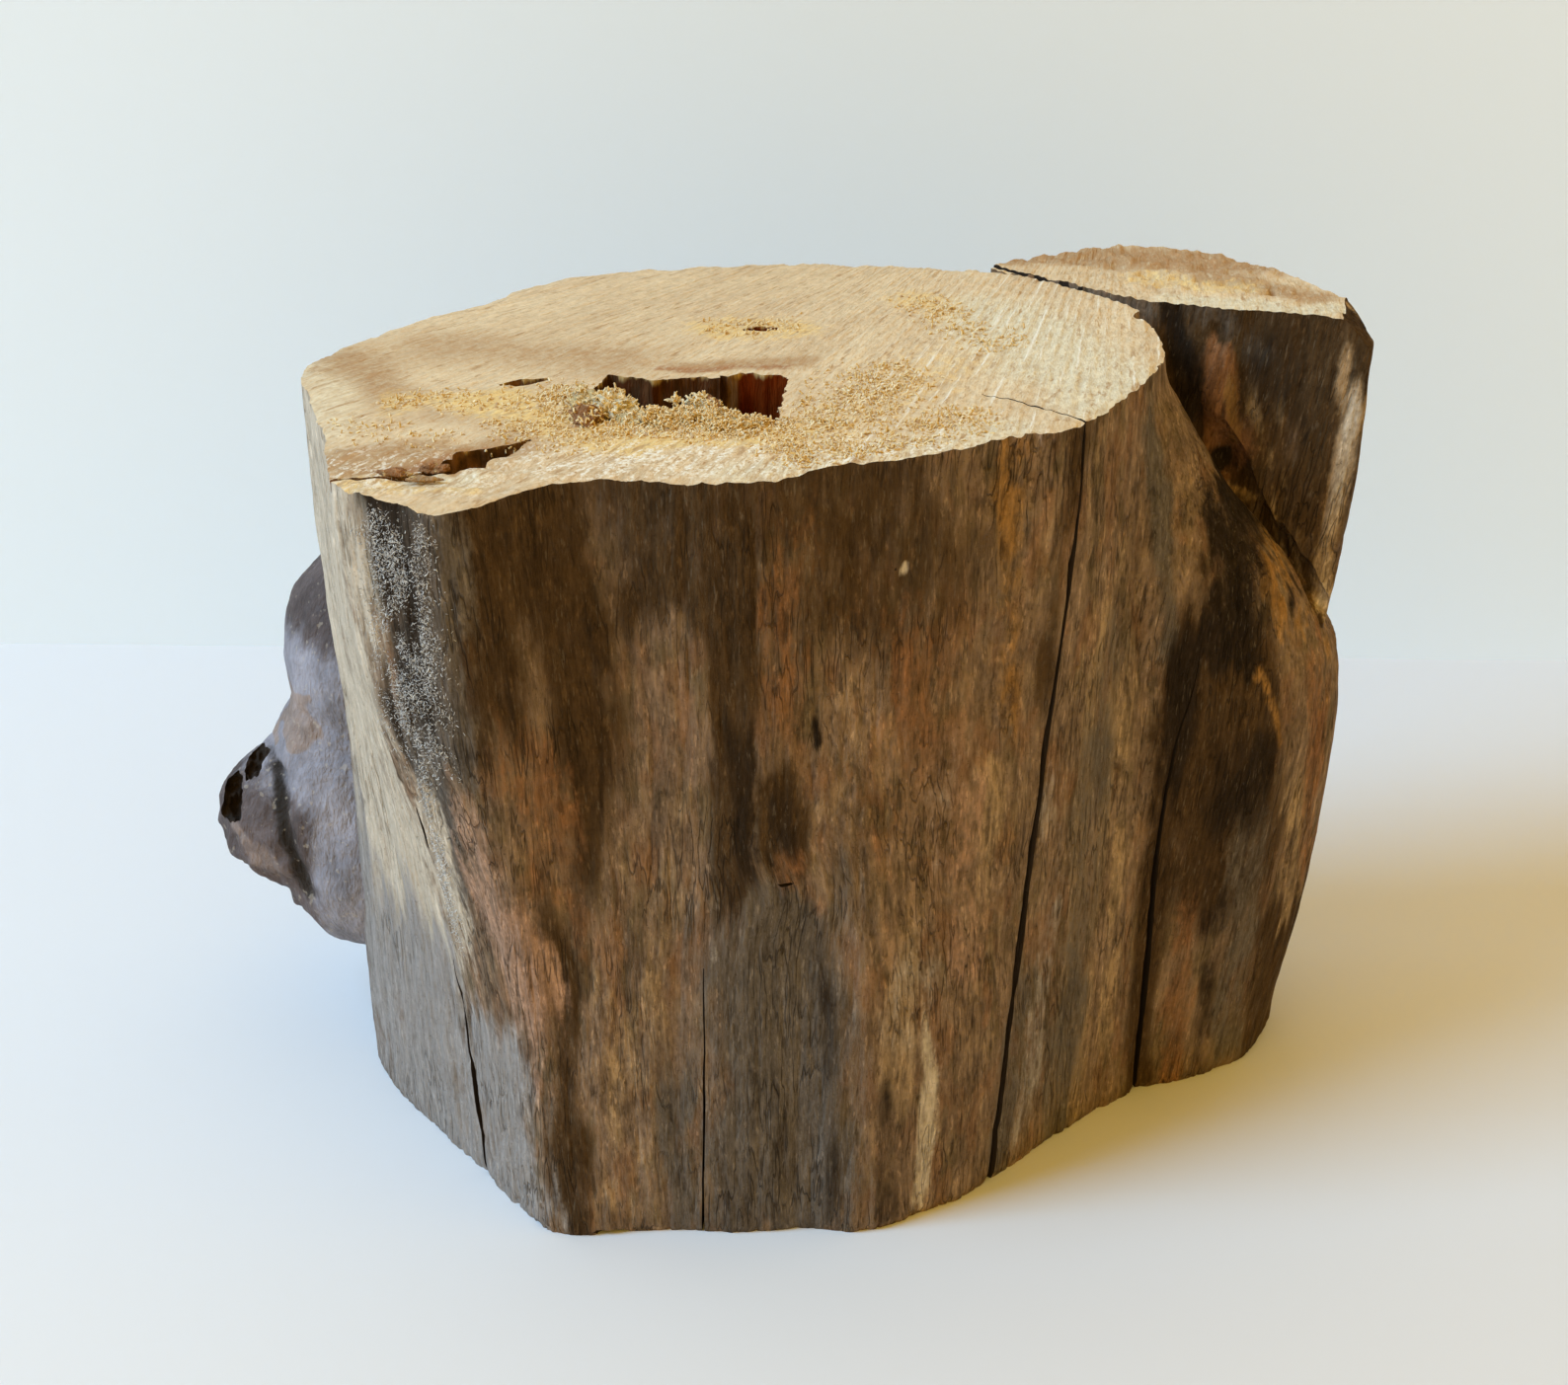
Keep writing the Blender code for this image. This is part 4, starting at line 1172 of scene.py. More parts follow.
class Board:
    """Adds nodes to a tree and joins them."""

    def __init__(self, tree):
        self.tree = tree

    def feed(self, socket, value):
        """Join a socket to another, or set its value, a colour with its alpha."""
        if isinstance(value, bpy.types.NodeSocket):
            self.tree.links.new(value, socket)
        elif socket.type == "RGBA":
            socket.default_value = (*value[:3], 1.0)
        else:
            socket.default_value = value

    def put(self, kind, values=None, **settings):
        """Add a node with its settings and its inputs by name or number."""
        node = self.tree.nodes.new(kind)
        for name, value in settings.items():
            setattr(node, name, value)
        for name, value in (values or {}).items():
            self.feed(node.inputs[name], value)
        return node

    def maths(self, operation, *values, clamp=False):
        """Result of a Math node."""
        node = self.put("ShaderNodeMath", operation=operation, use_clamp=clamp)
        for socket, value in zip(node.inputs, values):
            self.feed(socket, value)
        return node.outputs[0]

    def plus(self, first, second):
        """Sum of two values."""
        return self.maths("ADD", first, second)

    def minus(self, first, second):
        """Difference of two values."""
        return self.maths("SUBTRACT", first, second)

    def times(self, first, second):
        """Product of two values."""
        return self.maths("MULTIPLY", first, second)

    def blend(self, share, first, second, mode="MIX"):
        """Colour mixed from two colours."""
        node = self.put("ShaderNodeMix", data_type="RGBA", blend_type=mode)
        for number, value in ((0, share), (6, first), (7, second)):
            self.feed(node.inputs[number], value)
        return node.outputs[2]

    def span(self, value, low, high, start=0.0, end=1.0):
        """Value taken softly from one range to another."""
        node = self.put("ShaderNodeMapRange", interpolation_type="SMOOTHSTEP")
        for name, number in zip(SPAN_INPUTS, (value, low, high, start, end)):
            self.feed(node.inputs[name], number)
        return node.outputs["Result"]

    def total(self, start, *shares):
        """Start value with each value added by its share."""
        for value, share in shares:
            start = self.plus(start, self.times(value, share))
        return start

    def attribute(self, name, output="Fac"):
        """Value of an attribute of the mesh."""
        return self.put("ShaderNodeAttribute", attribute_name=name).outputs[output]

    def group(self, tree, values):
        """Group node with its inputs."""
        node = self.put("ShaderNodeGroup")
        node.node_tree = tree
        for name, value in values.items():
            self.feed(node.inputs[name], value)
        return node


def new_group(name, inputs):
    """Empty shader group with a Value, and inputs by name: a number's usual value, None for a vector."""
    tree = bpy.data.node_groups.new(name, "ShaderNodeTree")
    for label, value in inputs.items():
        kind = "NodeSocketVector" if value is None else "NodeSocketFloat"
        socket = tree.interface.new_socket(label, in_out="INPUT", socket_type=kind)
        if value is not None:
            socket.default_value = value
    tree.interface.new_socket("Value", in_out="OUTPUT", socket_type="NodeSocketFloat")
    board = Board(tree)
    return board, board.put("NodeGroupInput").outputs, board.put("NodeGroupOutput").inputs


def shared_group(name, make):
    """Shader group of the name, made once."""
    return bpy.data.node_groups.get(name) or make(name)


def stretched(board, given):
    """Vector drawn out along the grain, from a group's Grain, Across and Stretch."""
    along = board.maths("DIVIDE", given["Across"], given["Stretch"])
    scale = board.put("ShaderNodeCombineXYZ", {"X": given["Across"], "Y": given["Across"], "Z": along})
    values = {0: given["Grain"], 1: scale.outputs[0]}
    return board.put("ShaderNodeVectorMath", values, operation="MULTIPLY").outputs[0]


def make_streaks(name):
    """Streaks along the grain: value from 0 to 1."""
    inputs = {"Grain": None, "Across": 300.0, "Stretch": 12.0, "Shift": 0.0}
    board, given, out = new_group(name, inputs)
    values = {0: stretched(board, given), 1: given["Shift"]}
    moved = board.put("ShaderNodeVectorMath", values, operation="ADD").outputs[0]
    values = {"Vector": moved, "Scale": 1.0, "Detail": 3.0, "Roughness": 0.6}
    cloud = board.put("ShaderNodeTexNoise", values)
    board.feed(out["Value"], board.span(cloud.outputs["Fac"], 0.26, 0.74))
    return board.tree


def make_checks(name):
    """Thin drying checks along the grain: 1 on a check and 0 beside it."""
    inputs = {"Grain": None, "Across": 300.0, "Stretch": 30.0, "Width": 0.03}
    board, given, out = new_group(name, inputs)
    values = {"Vector": stretched(board, given), "Scale": 1.0, "Detail": 2.0, "Roughness": 0.5}
    cloud = board.put("ShaderNodeTexNoise", values)
    off = board.maths("ABSOLUTE", board.minus(cloud.outputs["Fac"], 0.5))
    line = board.span(off, 0.0, given["Width"], 1.0, 0.0)
    part = board.put("ShaderNodeTexNoise", {"Vector": given["Grain"], "Scale": 45.0, "Detail": 2.0})
    board.feed(out["Value"], board.times(line, board.span(part.outputs["Fac"], 0.42, 0.6)))
    return board.tree


def make_specks(name):
    """Small specks of dirt or pores: 1 on a speck and 0 beside it."""
    board, given, out = new_group(name, {"Vector": None, "Scale": 900.0, "Share": 0.6})
    values = {"Vector": given["Vector"], "Scale": given["Scale"], "Detail": 2.0}
    cloud = board.put("ShaderNodeTexNoise", values)
    high = board.plus(given["Share"], 0.07)
    board.feed(out["Value"], board.span(cloud.outputs["Fac"], given["Share"], high))
    return board.tree


def scaled_colour(board, colour, level):
    """Colour made lighter or darker by a level."""
    node = board.put("ShaderNodeVectorMath", {0: colour, "Scale": level}, operation="SCALE")
    return node.outputs[0]


def streaks(board, grain, across, stretch, shift=0.0):
    """Value of the shared streaks group."""
    tree = shared_group("grain_streaks", make_streaks)
    values = {"Grain": grain, "Across": across, "Stretch": stretch, "Shift": shift}
    return board.group(tree, values).outputs[0]


def all_streaks(board, vector, table):
    """Value of each entry of a table of streaks, by its name."""
    return {name: streaks(board, vector, *numbers) for name, numbers in table.items()}


def checks(board, grain, across, stretch, width):
    """Value of the shared checks group."""
    tree = shared_group("drying_checks", make_checks)
    values = {"Grain": grain, "Across": across, "Stretch": stretch, "Width": width}
    return board.group(tree, values).outputs[0]


def specks(board, vector, scale, share):
    """Value of the shared specks group."""
    tree = shared_group("specks", make_specks)
    return board.group(tree, {"Vector": vector, "Scale": scale, "Share": share}).outputs[0]


def new_material(name, roughness):
    """Material with a Principled BSDF: the material, its board and the shader."""
    material = bpy.data.materials.new(name)
    material.use_nodes = True
    board = Board(material.node_tree)
    shader = material.node_tree.nodes["Principled BSDF"]
    shader.inputs["Roughness"].default_value = roughness
    shader.inputs["Specular IOR Level"].default_value = 0.25
    return material, board, shader


def raise_surface(board, shader, height, distance):
    """Bump on a shader from a height between 0 and 1."""
    bump = board.put("ShaderNodeBump", {"Height": height, "Distance": distance, "Strength": 1.0})
    board.feed(shader.inputs["Normal"], bump.outputs[0])


def object_place(board):
    """Place on the piece, in metres."""
    return board.put("ShaderNodeTexCoord").outputs["Object"]


def weathered_side(colours):
    """Side of the log: tones painted along the grain, mottling, pale flecks, drying checks and dirt."""
    material, board, shader = new_material("weathered_side", 0.9)
    shader.inputs["Specular IOR Level"].default_value = 0.06
    grain = board.attribute("grain", "Vector")
    place = object_place(board)
    wood = all_streaks(board, grain, SIDE_STREAKS)
    mottle = streaks(board, place, *SIDE_MOTTLE)
    colour = board.blend(board.times(wood["patch"], 0.5), colours.brown, colours.umber)
    colour = board.blend(board.span(wood["middle"], 0.5, 1.0, 0.0, 0.35), colour, colours.tan)
    for tone, most in (("moss", 0.6), ("rust", 0.5)):
        share = board.span(wood[tone], 0.45, 1.0, 0.0, most)
        colour = board.blend(share, colour, getattr(colours, tone))
    edge = board.total(
        0.0, (wood["middle"], 0.3), (wood["fine"], 0.12), (wood["patch"], 0.36), (mottle, 0.1),
    )
    for tone in TONES:
        mask = board.plus(board.attribute(tone), board.times(board.minus(edge, 0.44), 1.45))
        share = board.times(board.span(mask, 0.08, 0.92), board.span(board.attribute(tone), 0.0, 0.25))
        colour = board.blend(share, colour, getattr(colours, tone))
    glint = board.span(wood["glint"], 0.76, 1.0)
    level = board.total(
        0.04, (wood["middle"], 0.4), (wood["fine"], 0.44), (wood["cord"], 0.36), (wood["thread"], 0.28),
        (mottle, 0.2), (wood["strand"], 0.26), (glint, 0.7),
    )
    washed = board.maths("MAXIMUM", board.attribute("silver"), board.attribute("bleached"))
    evened = board.times(washed, board.minus(1.04, level))
    level = board.plus(level, board.times(evened, 0.55))
    colour = scaled_colour(board, colour, level)
    kept = board.minus(1.0, board.times(washed, 0.75))
    shades = board.span(wood["shade"], 0.24, 0.0, 0.0, 0.5)
    colour = board.blend(board.times(shades, kept), colour, colours.soot_and_shade)
    flecks = board.span(wood["fleck"], 0.8, 1.0, 0.0, 0.1)
    colour = board.blend(flecks, colour, colours.bleached)
    pits = board.span(wood["pit"], 0.42, 0.14, 0.0, 0.8)
    colour = board.blend(board.times(pits, board.attribute("pitted")), colour, colours.umber)
    curls = board.times(specks(board, place, 2300.0, 0.56), board.attribute("fuzzy"))
    colour = board.blend(board.times(curls, 0.55), colour, colours.fluff)
    hairs = checks(board, grain, 420.0, 9.0, 0.026)
    colour = board.blend(board.times(board.times(hairs, 0.5), kept), colour, colours.soot_and_shade)
    dirt = specks(board, place, 1500.0, 0.64)
    colour = board.blend(board.times(dirt, 0.35), colour, colours.soot_and_shade)
    board.feed(shader.inputs["Base Color"], colour)
    height = board.total(0.0, (wood["middle"], 0.4), (wood["fine"], 0.35), (mottle, 0.25), (hairs, -0.8))
    raise_surface(board, shader, height, 0.0005)
    board.feed(shader.inputs["Roughness"], board.span(wood["fine"], 0.0, 1.0, 0.95, 0.72))
    return material


def sawn_face(colours):
    """Sawn wood: cream with stained, golden and chalky patches, saw lines and torn specks."""
    material, board, shader = new_material("sawn_face", 0.9)
    turned = board.put("ShaderNodeSeparateXYZ", {0: board.attribute("saw", "Vector")}).outputs
    values = {"X": turned[0], "Y": turned[2], "Z": turned[1]}
    lines = board.put("ShaderNodeCombineXYZ", values).outputs[0]
    place = object_place(board)
    sawn = all_streaks(board, lines, CUT_STREAKS)
    wood = all_streaks(board, place, CUT_CLOUDS)
    colour = board.blend(board.times(sawn["broad"], 0.3), colours.cream, colours.stain)
    edge = board.total(0.0, (wood["cloud"], 0.4), (sawn["fine"], 0.3))
    for tone in CUT_TONES:
        mask = board.plus(board.attribute(tone), board.minus(edge, 0.34))
        colour = board.blend(board.span(mask, 0.15, 0.95), colour, getattr(colours, tone))
    level = board.total(0.82, (sawn["fine"], 0.22), (wood["cloud"], 0.16))
    colour = scaled_colour(board, colour, level)
    pores = specks(board, place, 1100.0, 0.62)
    colour = board.blend(board.times(pores, 0.3), colour, colours.stain)
    colour = board.blend(board.span(sawn["dash"], 0.22, 0.0, 0.0, 0.75), colour, colours.stain)
    colour = board.blend(board.span(sawn["thread"], 0.78, 1.0, 0.0, 0.45), colour, colours.chalk)
    scratch = board.times(board.attribute("ridge"), board.span(sawn["scratch"], 0.35, 0.8))
    colour = board.blend(board.span(scratch, 0.5, 0.95, 0.0, 0.9), colour, colours.scratch)
    scored = board.attribute("scored")
    light = board.times(board.span(sawn["mark"], 0.45, 0.75), board.span(wood["grit"], 0.3, 0.7))
    colour = board.blend(board.times(light, scored), colour, colours.scratch)
    low = board.maths("MINIMUM", sawn["mark"], wood["grit"])
    shade = board.times(board.span(low, 0.3, 0.05, 0.0, 0.8), scored)
    colour = board.blend(shade, colour, colours.stain)
    torn = board.maths("ADD", board.attribute("torn"), 0.12, clamp=True)
    chips = board.times(board.span(wood["chip"], 0.6, 0.95), torn)
    colour = board.blend(chips, colour, colours.fresh)
    # Painted shade between the torn chips: the spaces among them are darkened with stain.
    gap_shade = board.times(board.span(wood["chip"], 0.45, 0.12, 0.0, 0.9), torn)
    colour = board.blend(gap_shade, colour, colours.stain)
    board.feed(shader.inputs["Base Color"], colour)
    raise_surface(board, shader, board.total(sawn["fine"], (wood["cloud"], 0.35)), 0.0002)
    return material


def rotten_heart(colours):
    """Walls of the pocket and the split: red brown in the shaft, grey brown fibres elsewhere. The fibres'
    dark brown is partly painted shade of these deep, narrow openings.
    """
    material, board, shader = new_material("rotten_heart", 0.8)
    shader.inputs["Specular IOR Level"].default_value = 0.05
    place = object_place(board)
    across, _, height = board.put("ShaderNodeSeparateXYZ", {0: place}).outputs
    wood = all_streaks(board, place, HEART_STREAKS)
    # Painted shade in part: the fibres are kept dark umber where the pocket and the split are deep and
    # narrow.
    fibres = board.blend(board.span(wood["middle"], 0.0, 1.0, 0.1, 0.4), colours.umber, colours.heart)
    fibres = board.blend(board.span(wood["fine"], 0.4, 1.0, 0.0, 0.22), fibres, colours.russet)
    soft = board.blend(wood["soft"], colours.umber, colours.russet)
    fibres = board.blend(board.span(across, *SPLIT_SIDE, 0.0, 0.75), fibres, soft)
    walls = scaled_colour(board, tuple(colours.heart), board.total(0.7, (wood["fine"], 0.5)))
    colour = board.blend(board.span(across, *SHAFT_SIDE), fibres, walls)
    off = board.maths("ABSOLUTE", board.plus(across, RIB_OFFSET))
    rib = board.times(board.span(off, *RIB_HALF), board.span(wood["middle"], 0.2, 0.9, 0.1, 0.6))
    colour = board.blend(rib, colour, colours.stain)
    frayed = board.total(height, (wood["middle"], 0.0024))
    light = board.span(frayed, TOP_CUT * MM, (TOP_CUT + 1.6) * MM)
    colour = board.blend(board.times(light, 0.8), colour, colours.gold)
    board.feed(shader.inputs["Base Color"], colour)
    raise_surface(board, shader, board.plus(wood["middle"], wood["fine"]), 0.0003)
    return material


def painted_crack_shade(colours):
    """Near black walls of the drying cracks and of the slits, nicks, holes and top check cut with them:
    painted shade of these narrow openings, and in the bark seam partly its dark included bark.
    """
    material, board, shader = new_material("painted_crack_shade", 0.9)
    fine = streaks(board, object_place(board), *CRACK_STREAKS)
    board.feed(shader.inputs["Base Color"], board.blend(fine, colours.soot_and_shade, colours.crack))
    raise_surface(board, shader, fine, 0.0003)
    return material


def burl_skin(colours):
    """Smooth grey purple skin of the burl, bruised brown on its lumps, pale where it has broken, and
    painted nearly black in its groove as shade.
    """
    material, board, shader = new_material("burl_skin", 0.7)
    place = object_place(board)
    skin = all_streaks(board, place, BURL_STREAKS)
    colour = colours.haze
    wander = board.times(board.minus(skin["middle"], 0.5), 0.45)
    # The groove's tone is painted shade: nearly black along the carved groove.
    for name, tone in (("bruised", colours.bruise), ("broken", colours.flake), ("groove_shade", colours.soot_and_shade)):
        mask = board.plus(board.attribute(name), wander)
        colour = board.blend(board.span(mask, 0.12, 0.88), colour, tone)
    colour = scaled_colour(board, colour, board.total(0.5, (skin["fine"], 0.3), (skin["broad"], 0.7)))
    scuffs = specks(board, place, 500.0, 0.63)
    colour = board.blend(board.times(scuffs, 0.35), colour, colours.bleached)
    board.feed(shader.inputs["Base Color"], colour)
    raise_surface(board, shader, board.total(skin["middle"], (skin["fine"], 0.6)), 0.0005)
    return material


def strand_material(name, dark, light, roughness):
    """Fibres or crumbs, each with its own shade between two colours."""
    material, board, shader = new_material(name, roughness)
    cloud = streaks(board, object_place(board), *STRAND_CLOUD)
    share = board.total(0.0, (board.attribute("tint"), 0.75), (cloud, 0.25))
    board.feed(shader.inputs["Base Color"], board.blend(share, dark, light))
    return material


def crumbled_wood(colours):
    """Lumps of crumbled wood, golden with pale, stained and red brown parts."""
    material, board, shader = new_material("crumbled_wood", 0.9)
    wood = all_streaks(board, object_place(board), CRUMB_CLOUDS)
    colour = board.blend(board.times(wood["cloud"], 0.5), colours.gold, colours.cream)
    wander = board.times(board.minus(wood["cloud"], 0.5), 1.2)
    for name, tone in LUMP_TONES:
        mask = board.plus(board.attribute(name), wander)
        colour = board.blend(board.span(mask, 0.3, 0.8), colour, getattr(colours, LUMP_COLOURS[tone]))
    colour = scaled_colour(board, colour, board.total(0.6, (wood["grain"], 0.6)))
    board.feed(shader.inputs["Base Color"], colour)
    raise_surface(board, shader, wood["grain"], 0.0006)
    return material


def wood_material(make):
    """Material that one of the functions above makes under its own name, made once."""
    return bpy.data.materials.get(make.__name__) or make(bpy.context.scene.maple_log_colours)


# Pieces
def even_angles(count):
    """Angles of the stem's columns, closer together in front than behind."""
    fine = np.linspace(0.0, 360.0, COLUMN_STEPS)
    points = stem_radius(fine, 0.5 * TOP_CUT)[:, None] * level_direction(fine)
    steps = np.linalg.norm(np.diff(points, axis=0), axis=1)
    facing = angle_between(0.5 * (fine[1:] + fine[:-1]), DENSE_FACING)
    weight = REAR_DENSITY + (1 - REAR_DENSITY) * (1.0 - smooth_step(*DENSE_REACH, np.abs(facing)))
    run = np.concatenate(([0.0], np.cumsum(steps * weight)))
    return np.interp(np.arange(count) / count * run[-1], run, fine)


def bark_pits(points):
    """Depth of the pits in the streak of inner bark and in the pitted foot."""
    streak = side_zone(points, *BARK_STREAK) * front_share(points)
    foot = side_zone(points, *PITTED_FOOT) * front_share(points)
    rough = 0.6 * noise(points, (2.0, 2.0, 5.0), 41) + 0.6 * noise(points, (1.0, 1.0, 2.0), 42)
    pits = smooth_step(0.1, 0.7, noise(points, (1.7, 1.7, 2.4), 43))
    return streak * (rough - 0.25) - 0.8 * foot * pits


def make_main_stem(shape):
    """Main stem with its collar, sawn at both ends and cracked."""
    angle, height = np.meshgrid(even_angles(STEM_COLUMNS), np.linspace(0.0, TOP_CUT + 1.5, STEM_RINGS))
    grid = stem_radius(angle, height)[:, :, None] * level_direction(angle)
    grid[:, :, 2] = height
    normals = surface_normals(grid)
    flat = grid.reshape(-1, 3)
    relief = side_relief(grain_places(flat), shape) + bark_pits(flat)
    worn = 0.7 * (1.0 - smooth_step(0.0, 2.5, flat[:, 2]))
    normals = normals.reshape(-1, 3)
    normals[:, 2] = 0.0
    moved = flat + (relief - worn)[:, None] * normals
    side = wood_material(weathered_side)
    piece = loft("main_stem", list(moved.reshape(grid.shape)), side)
    cut = wood_material(sawn_face)
    heart = wood_material(rotten_heart)
    dark = wood_material(painted_crack_shade)
    knot = stem_radius(KNOT_ANGLE, KNOT_HEIGHT) * level_direction(KNOT_ANGLE)
    knot[2] = KNOT_HEIGHT - KNOT_SLIT_DROP
    moth = stem_point(MOTH_HOLE[0], MOTH_HOLE[1])
    cutters = [
        saw_cutter("top_waste", (-150, -75), (132, 100), (0.7, 1.5), main_cut_height(shape), cut),
        pocket_cutter("pocket_shaft", SHAFT_RIM, SHAFT_DEPTH, 111, heart),
        pocket_cutter("pocket_shelf", SHELF_RIM, SHELF_DEPTH, 121, heart),
        crease_cutter("bark_crease", side),
        top_groove("bark_seam", SEAM, dark, 131, wander=0.3),
        top_groove("split", SPLIT, heart, 141, roughness=0.14, wander=0.25),
        top_groove("slot", SLOT, heart, 151, step=0.5, wander=0.2),
        top_groove("pin_slot", PIN_SLOT, heart, 161, step=0.5, wander=0.2),
        top_groove("top_check", TOP_CHECK, dark, 171, step=0.6, roughness=0.12, wander=0.35),
        round_cutter("knot_slit", knot, KNOT_SLIT_HALF, 0.3, 181, dark),
        round_cutter("foot_nick", *FOOT_NICK, 0.25, 182, dark),
        round_cutter("moth_hole", moth, (MOTH_HOLE[2],) * 3, 0.1, 183, dark),
    ]
    for number, (name, facing, line) in enumerate(CRACKS):
        cutters.append(side_groove(name, facing, line, dark, 191 + 5 * number))
    carve(piece, cutters)
    return piece


def fork_grid():
    """Rings of the second stem's plain form, from the foot to above the top cut."""
    outline = closed_curve(FORK_OUTLINE, FORK_COLUMNS)
    turn = np.arctan2(outline[:, 1] - FORK_AXIS[1], outline[:, 0] - FORK_AXIS[0])
    rear = 0.5 + 0.5 * np.cos(turn - np.radians(REAR_FACING))
    rings = []
    for height in np.linspace(1.0, TOP_CUT + 1.5, FORK_RINGS):
        share = (1 - rear) * curve_through(LEAVING_HEIGHTS, FRONT_LEAVING, height)
        share += rear * curve_through(LEAVING_HEIGHTS, REAR_LEAVING, height)
        shift_x = curve_through(FORK_HEIGHTS, FORK_SHIFT_X, height)
        shift_y = curve_through(FORK_HEIGHTS, FORK_SHIFT_Y, height)
        centre_x, centre_y, half_x, half_y = collar(min(height, LEAVING_HEIGHTS[1]))
        half_x = half_x - FORK_TUCK
        x = (1 - share) * (centre_x + half_x * np.cos(turn)) + share * (outline[:, 0] + shift_x)
        y = (1 - share) * (centre_y + half_y * np.sin(turn) + REARWARD)
        y += share * (outline[:, 1] + shift_y)
        rings.append(np.column_stack([x, y, np.full(FORK_COLUMNS, height)]))
    return np.array(rings)


def make_second_stem(shape):
    """Second stem, sawn with the main one, its front rough with bark."""
    grid = fork_grid()
    normals = surface_normals(grid).reshape(-1, 3)
    flat = grid.reshape(-1, 3)
    bark = side_zone(flat, *FORK_BARK)
    lumps = 0.9 * noise(flat, (8.0, 8.0, 12.0), 211) + 0.8 * noise(flat, (3.2, 3.2, 5.0), 212)
    lumps += 2.4 * side_zone(flat, *FORK_LUMP)
    lumps -= 2.2 * side_zone(flat, *FORK_DENT)
    relief = side_relief(grain_places(flat), shape) + bark * lumps
    moved = flat + relief[:, None] * normals
    side = wood_material(weathered_side)
    piece = loft("second_stem", list(moved.reshape(grid.shape)), side)
    cut = wood_material(sawn_face)
    dark = wood_material(painted_crack_shade)
    cutters = [
        saw_cutter("fork_waste", (-40, 20), (150, 95), (0.8, 1.0), fork_cut_height(shape), cut),
        wane_cutter("wane", side),
        crease_cutter("bark_crease", side),
        top_groove("bark_seam", SEAM, dark, 131, wander=0.3),
    ]
    carve(piece, cutters)
    return piece


def make_burl():
    """Burl at the left rear, with a groove and the holes where it has rotted through."""
    directions, faces = unit_ball(BURL_SUBDIVISIONS)
    points = burl_points(directions)
    rough = 0.7 * noise(points, 8.0, 221) + 0.35 * noise(points, (3.2, 3.2, 4.0), 222)
    rough += 0.14 * noise(points, (1.3, 1.3, 1.8), 223)
    low = smooth_step(78.0, 50.0, points[:, 2]) * smooth_step(-98.0, -112.0, points[:, 0])
    rough += low * (1.3 * noise(points, 4.5, 224) + 0.5 * noise(points, 1.9, 225))
    groove = near_line(points[:, [0, 2]], *BURL_GROOVE, 2.2, 2)
    rough -= 1.8 * groove * (points[:, 1] < BURL_FRONT)
    piece = add_object("burl", points + rough[:, None] * directions, faces, wood_material(burl_skin))
    dark = wood_material(painted_crack_shade)
    carve(piece, [
        round_cutter(f"burl_hole_{k}", *hole, 0.28, 231 + k, dark) for k, hole in enumerate(BURL_HOLES)
    ])
    return piece


def make_lumps():
    """Lumps of crumbled wood in one piece, with a number for each point that tells its tone."""
    ball, ball_faces = unit_ball(4)
    points, faces, tones = [], [], []
    for number, (centre, half, tone) in enumerate(LUMPS):
        rough = np.array(centre, float) + ball * np.array(half, float)
        swell = 1.0 + 0.36 * noise(rough, 2.2, 241) + 0.4 * noise(rough, 1.0, 242)
        swell += 0.2 * noise(rough, 0.5, 243)
        points.append(np.array(centre, float) + ball * swell[:, None] * np.array(half, float))
        faces += [[corner + number * len(ball) for corner in face] for face in ball_faces]
        tones += [tone] * len(ball)
    piece = add_object("crumb_lumps", np.concatenate(points), faces, wood_material(crumbled_wood))
    for name, tone in LUMP_TONES:
        store(piece.data, name, np.array([kind == tone for kind in tones], float))
    return piece


# Attributes that the materials read
def keep_side_attributes(piece, places, zones):
    """Store the grain and the tones of a weathered side. Zones are (table, weight by point)."""
    points = mesh_points(piece.data)
    masks = {tone: np.zeros(len(points)) for tone in TONES}
    for table, weight in zones:
        paint_zones(masks, points, places, table, weight)
    pitted = side_zone(points, *PITTED_STREAK) * front_share(points)
    # Painted shade: the deeper the bark pits are, the darker they are painted.
    masks["soot_and_shade"] = np.maximum(masks["soot_and_shade"], 0.5 * smooth_step(0.45, 1.1, -bark_pits(points)))
    pitted *= smooth_step(-0.6, 0.5, noise(points, (5.0, 5.0, 11.0), 68))
    store(piece.data, "pitted", pitted * (points[:, 0] < 75.0))
    store(piece.data, "grain", places * MM)
    for tone in TONES:
        store(piece.data, tone, masks[tone])


def keep_cut_attributes(piece, patches, pitch, share):
    """Store the saw lines, by a share of their usual strength, and the tones of a sawn face."""
    points = mesh_points(piece.data)
    line = saw_line(points[:, 0], points[:, 1])
    store(piece.data, "ridge", share * saw_ridge(line, points[:, 1], pitch))
    store(piece.data, "saw", np.column_stack([line, points[:, 1], points[:, 2]]) * MM)
    scored = near_line(points[:, :2], *SCORED, 4)
    lobe = near_line(points[:, :2], *LOBE_MARKS, 4)
    store(piece.data, "scored", np.maximum(scored, 0.75 * lobe))
    for tone, mask in paint_patches(points, CUT_TONES, patches).items():
        store(piece.data, tone, mask)


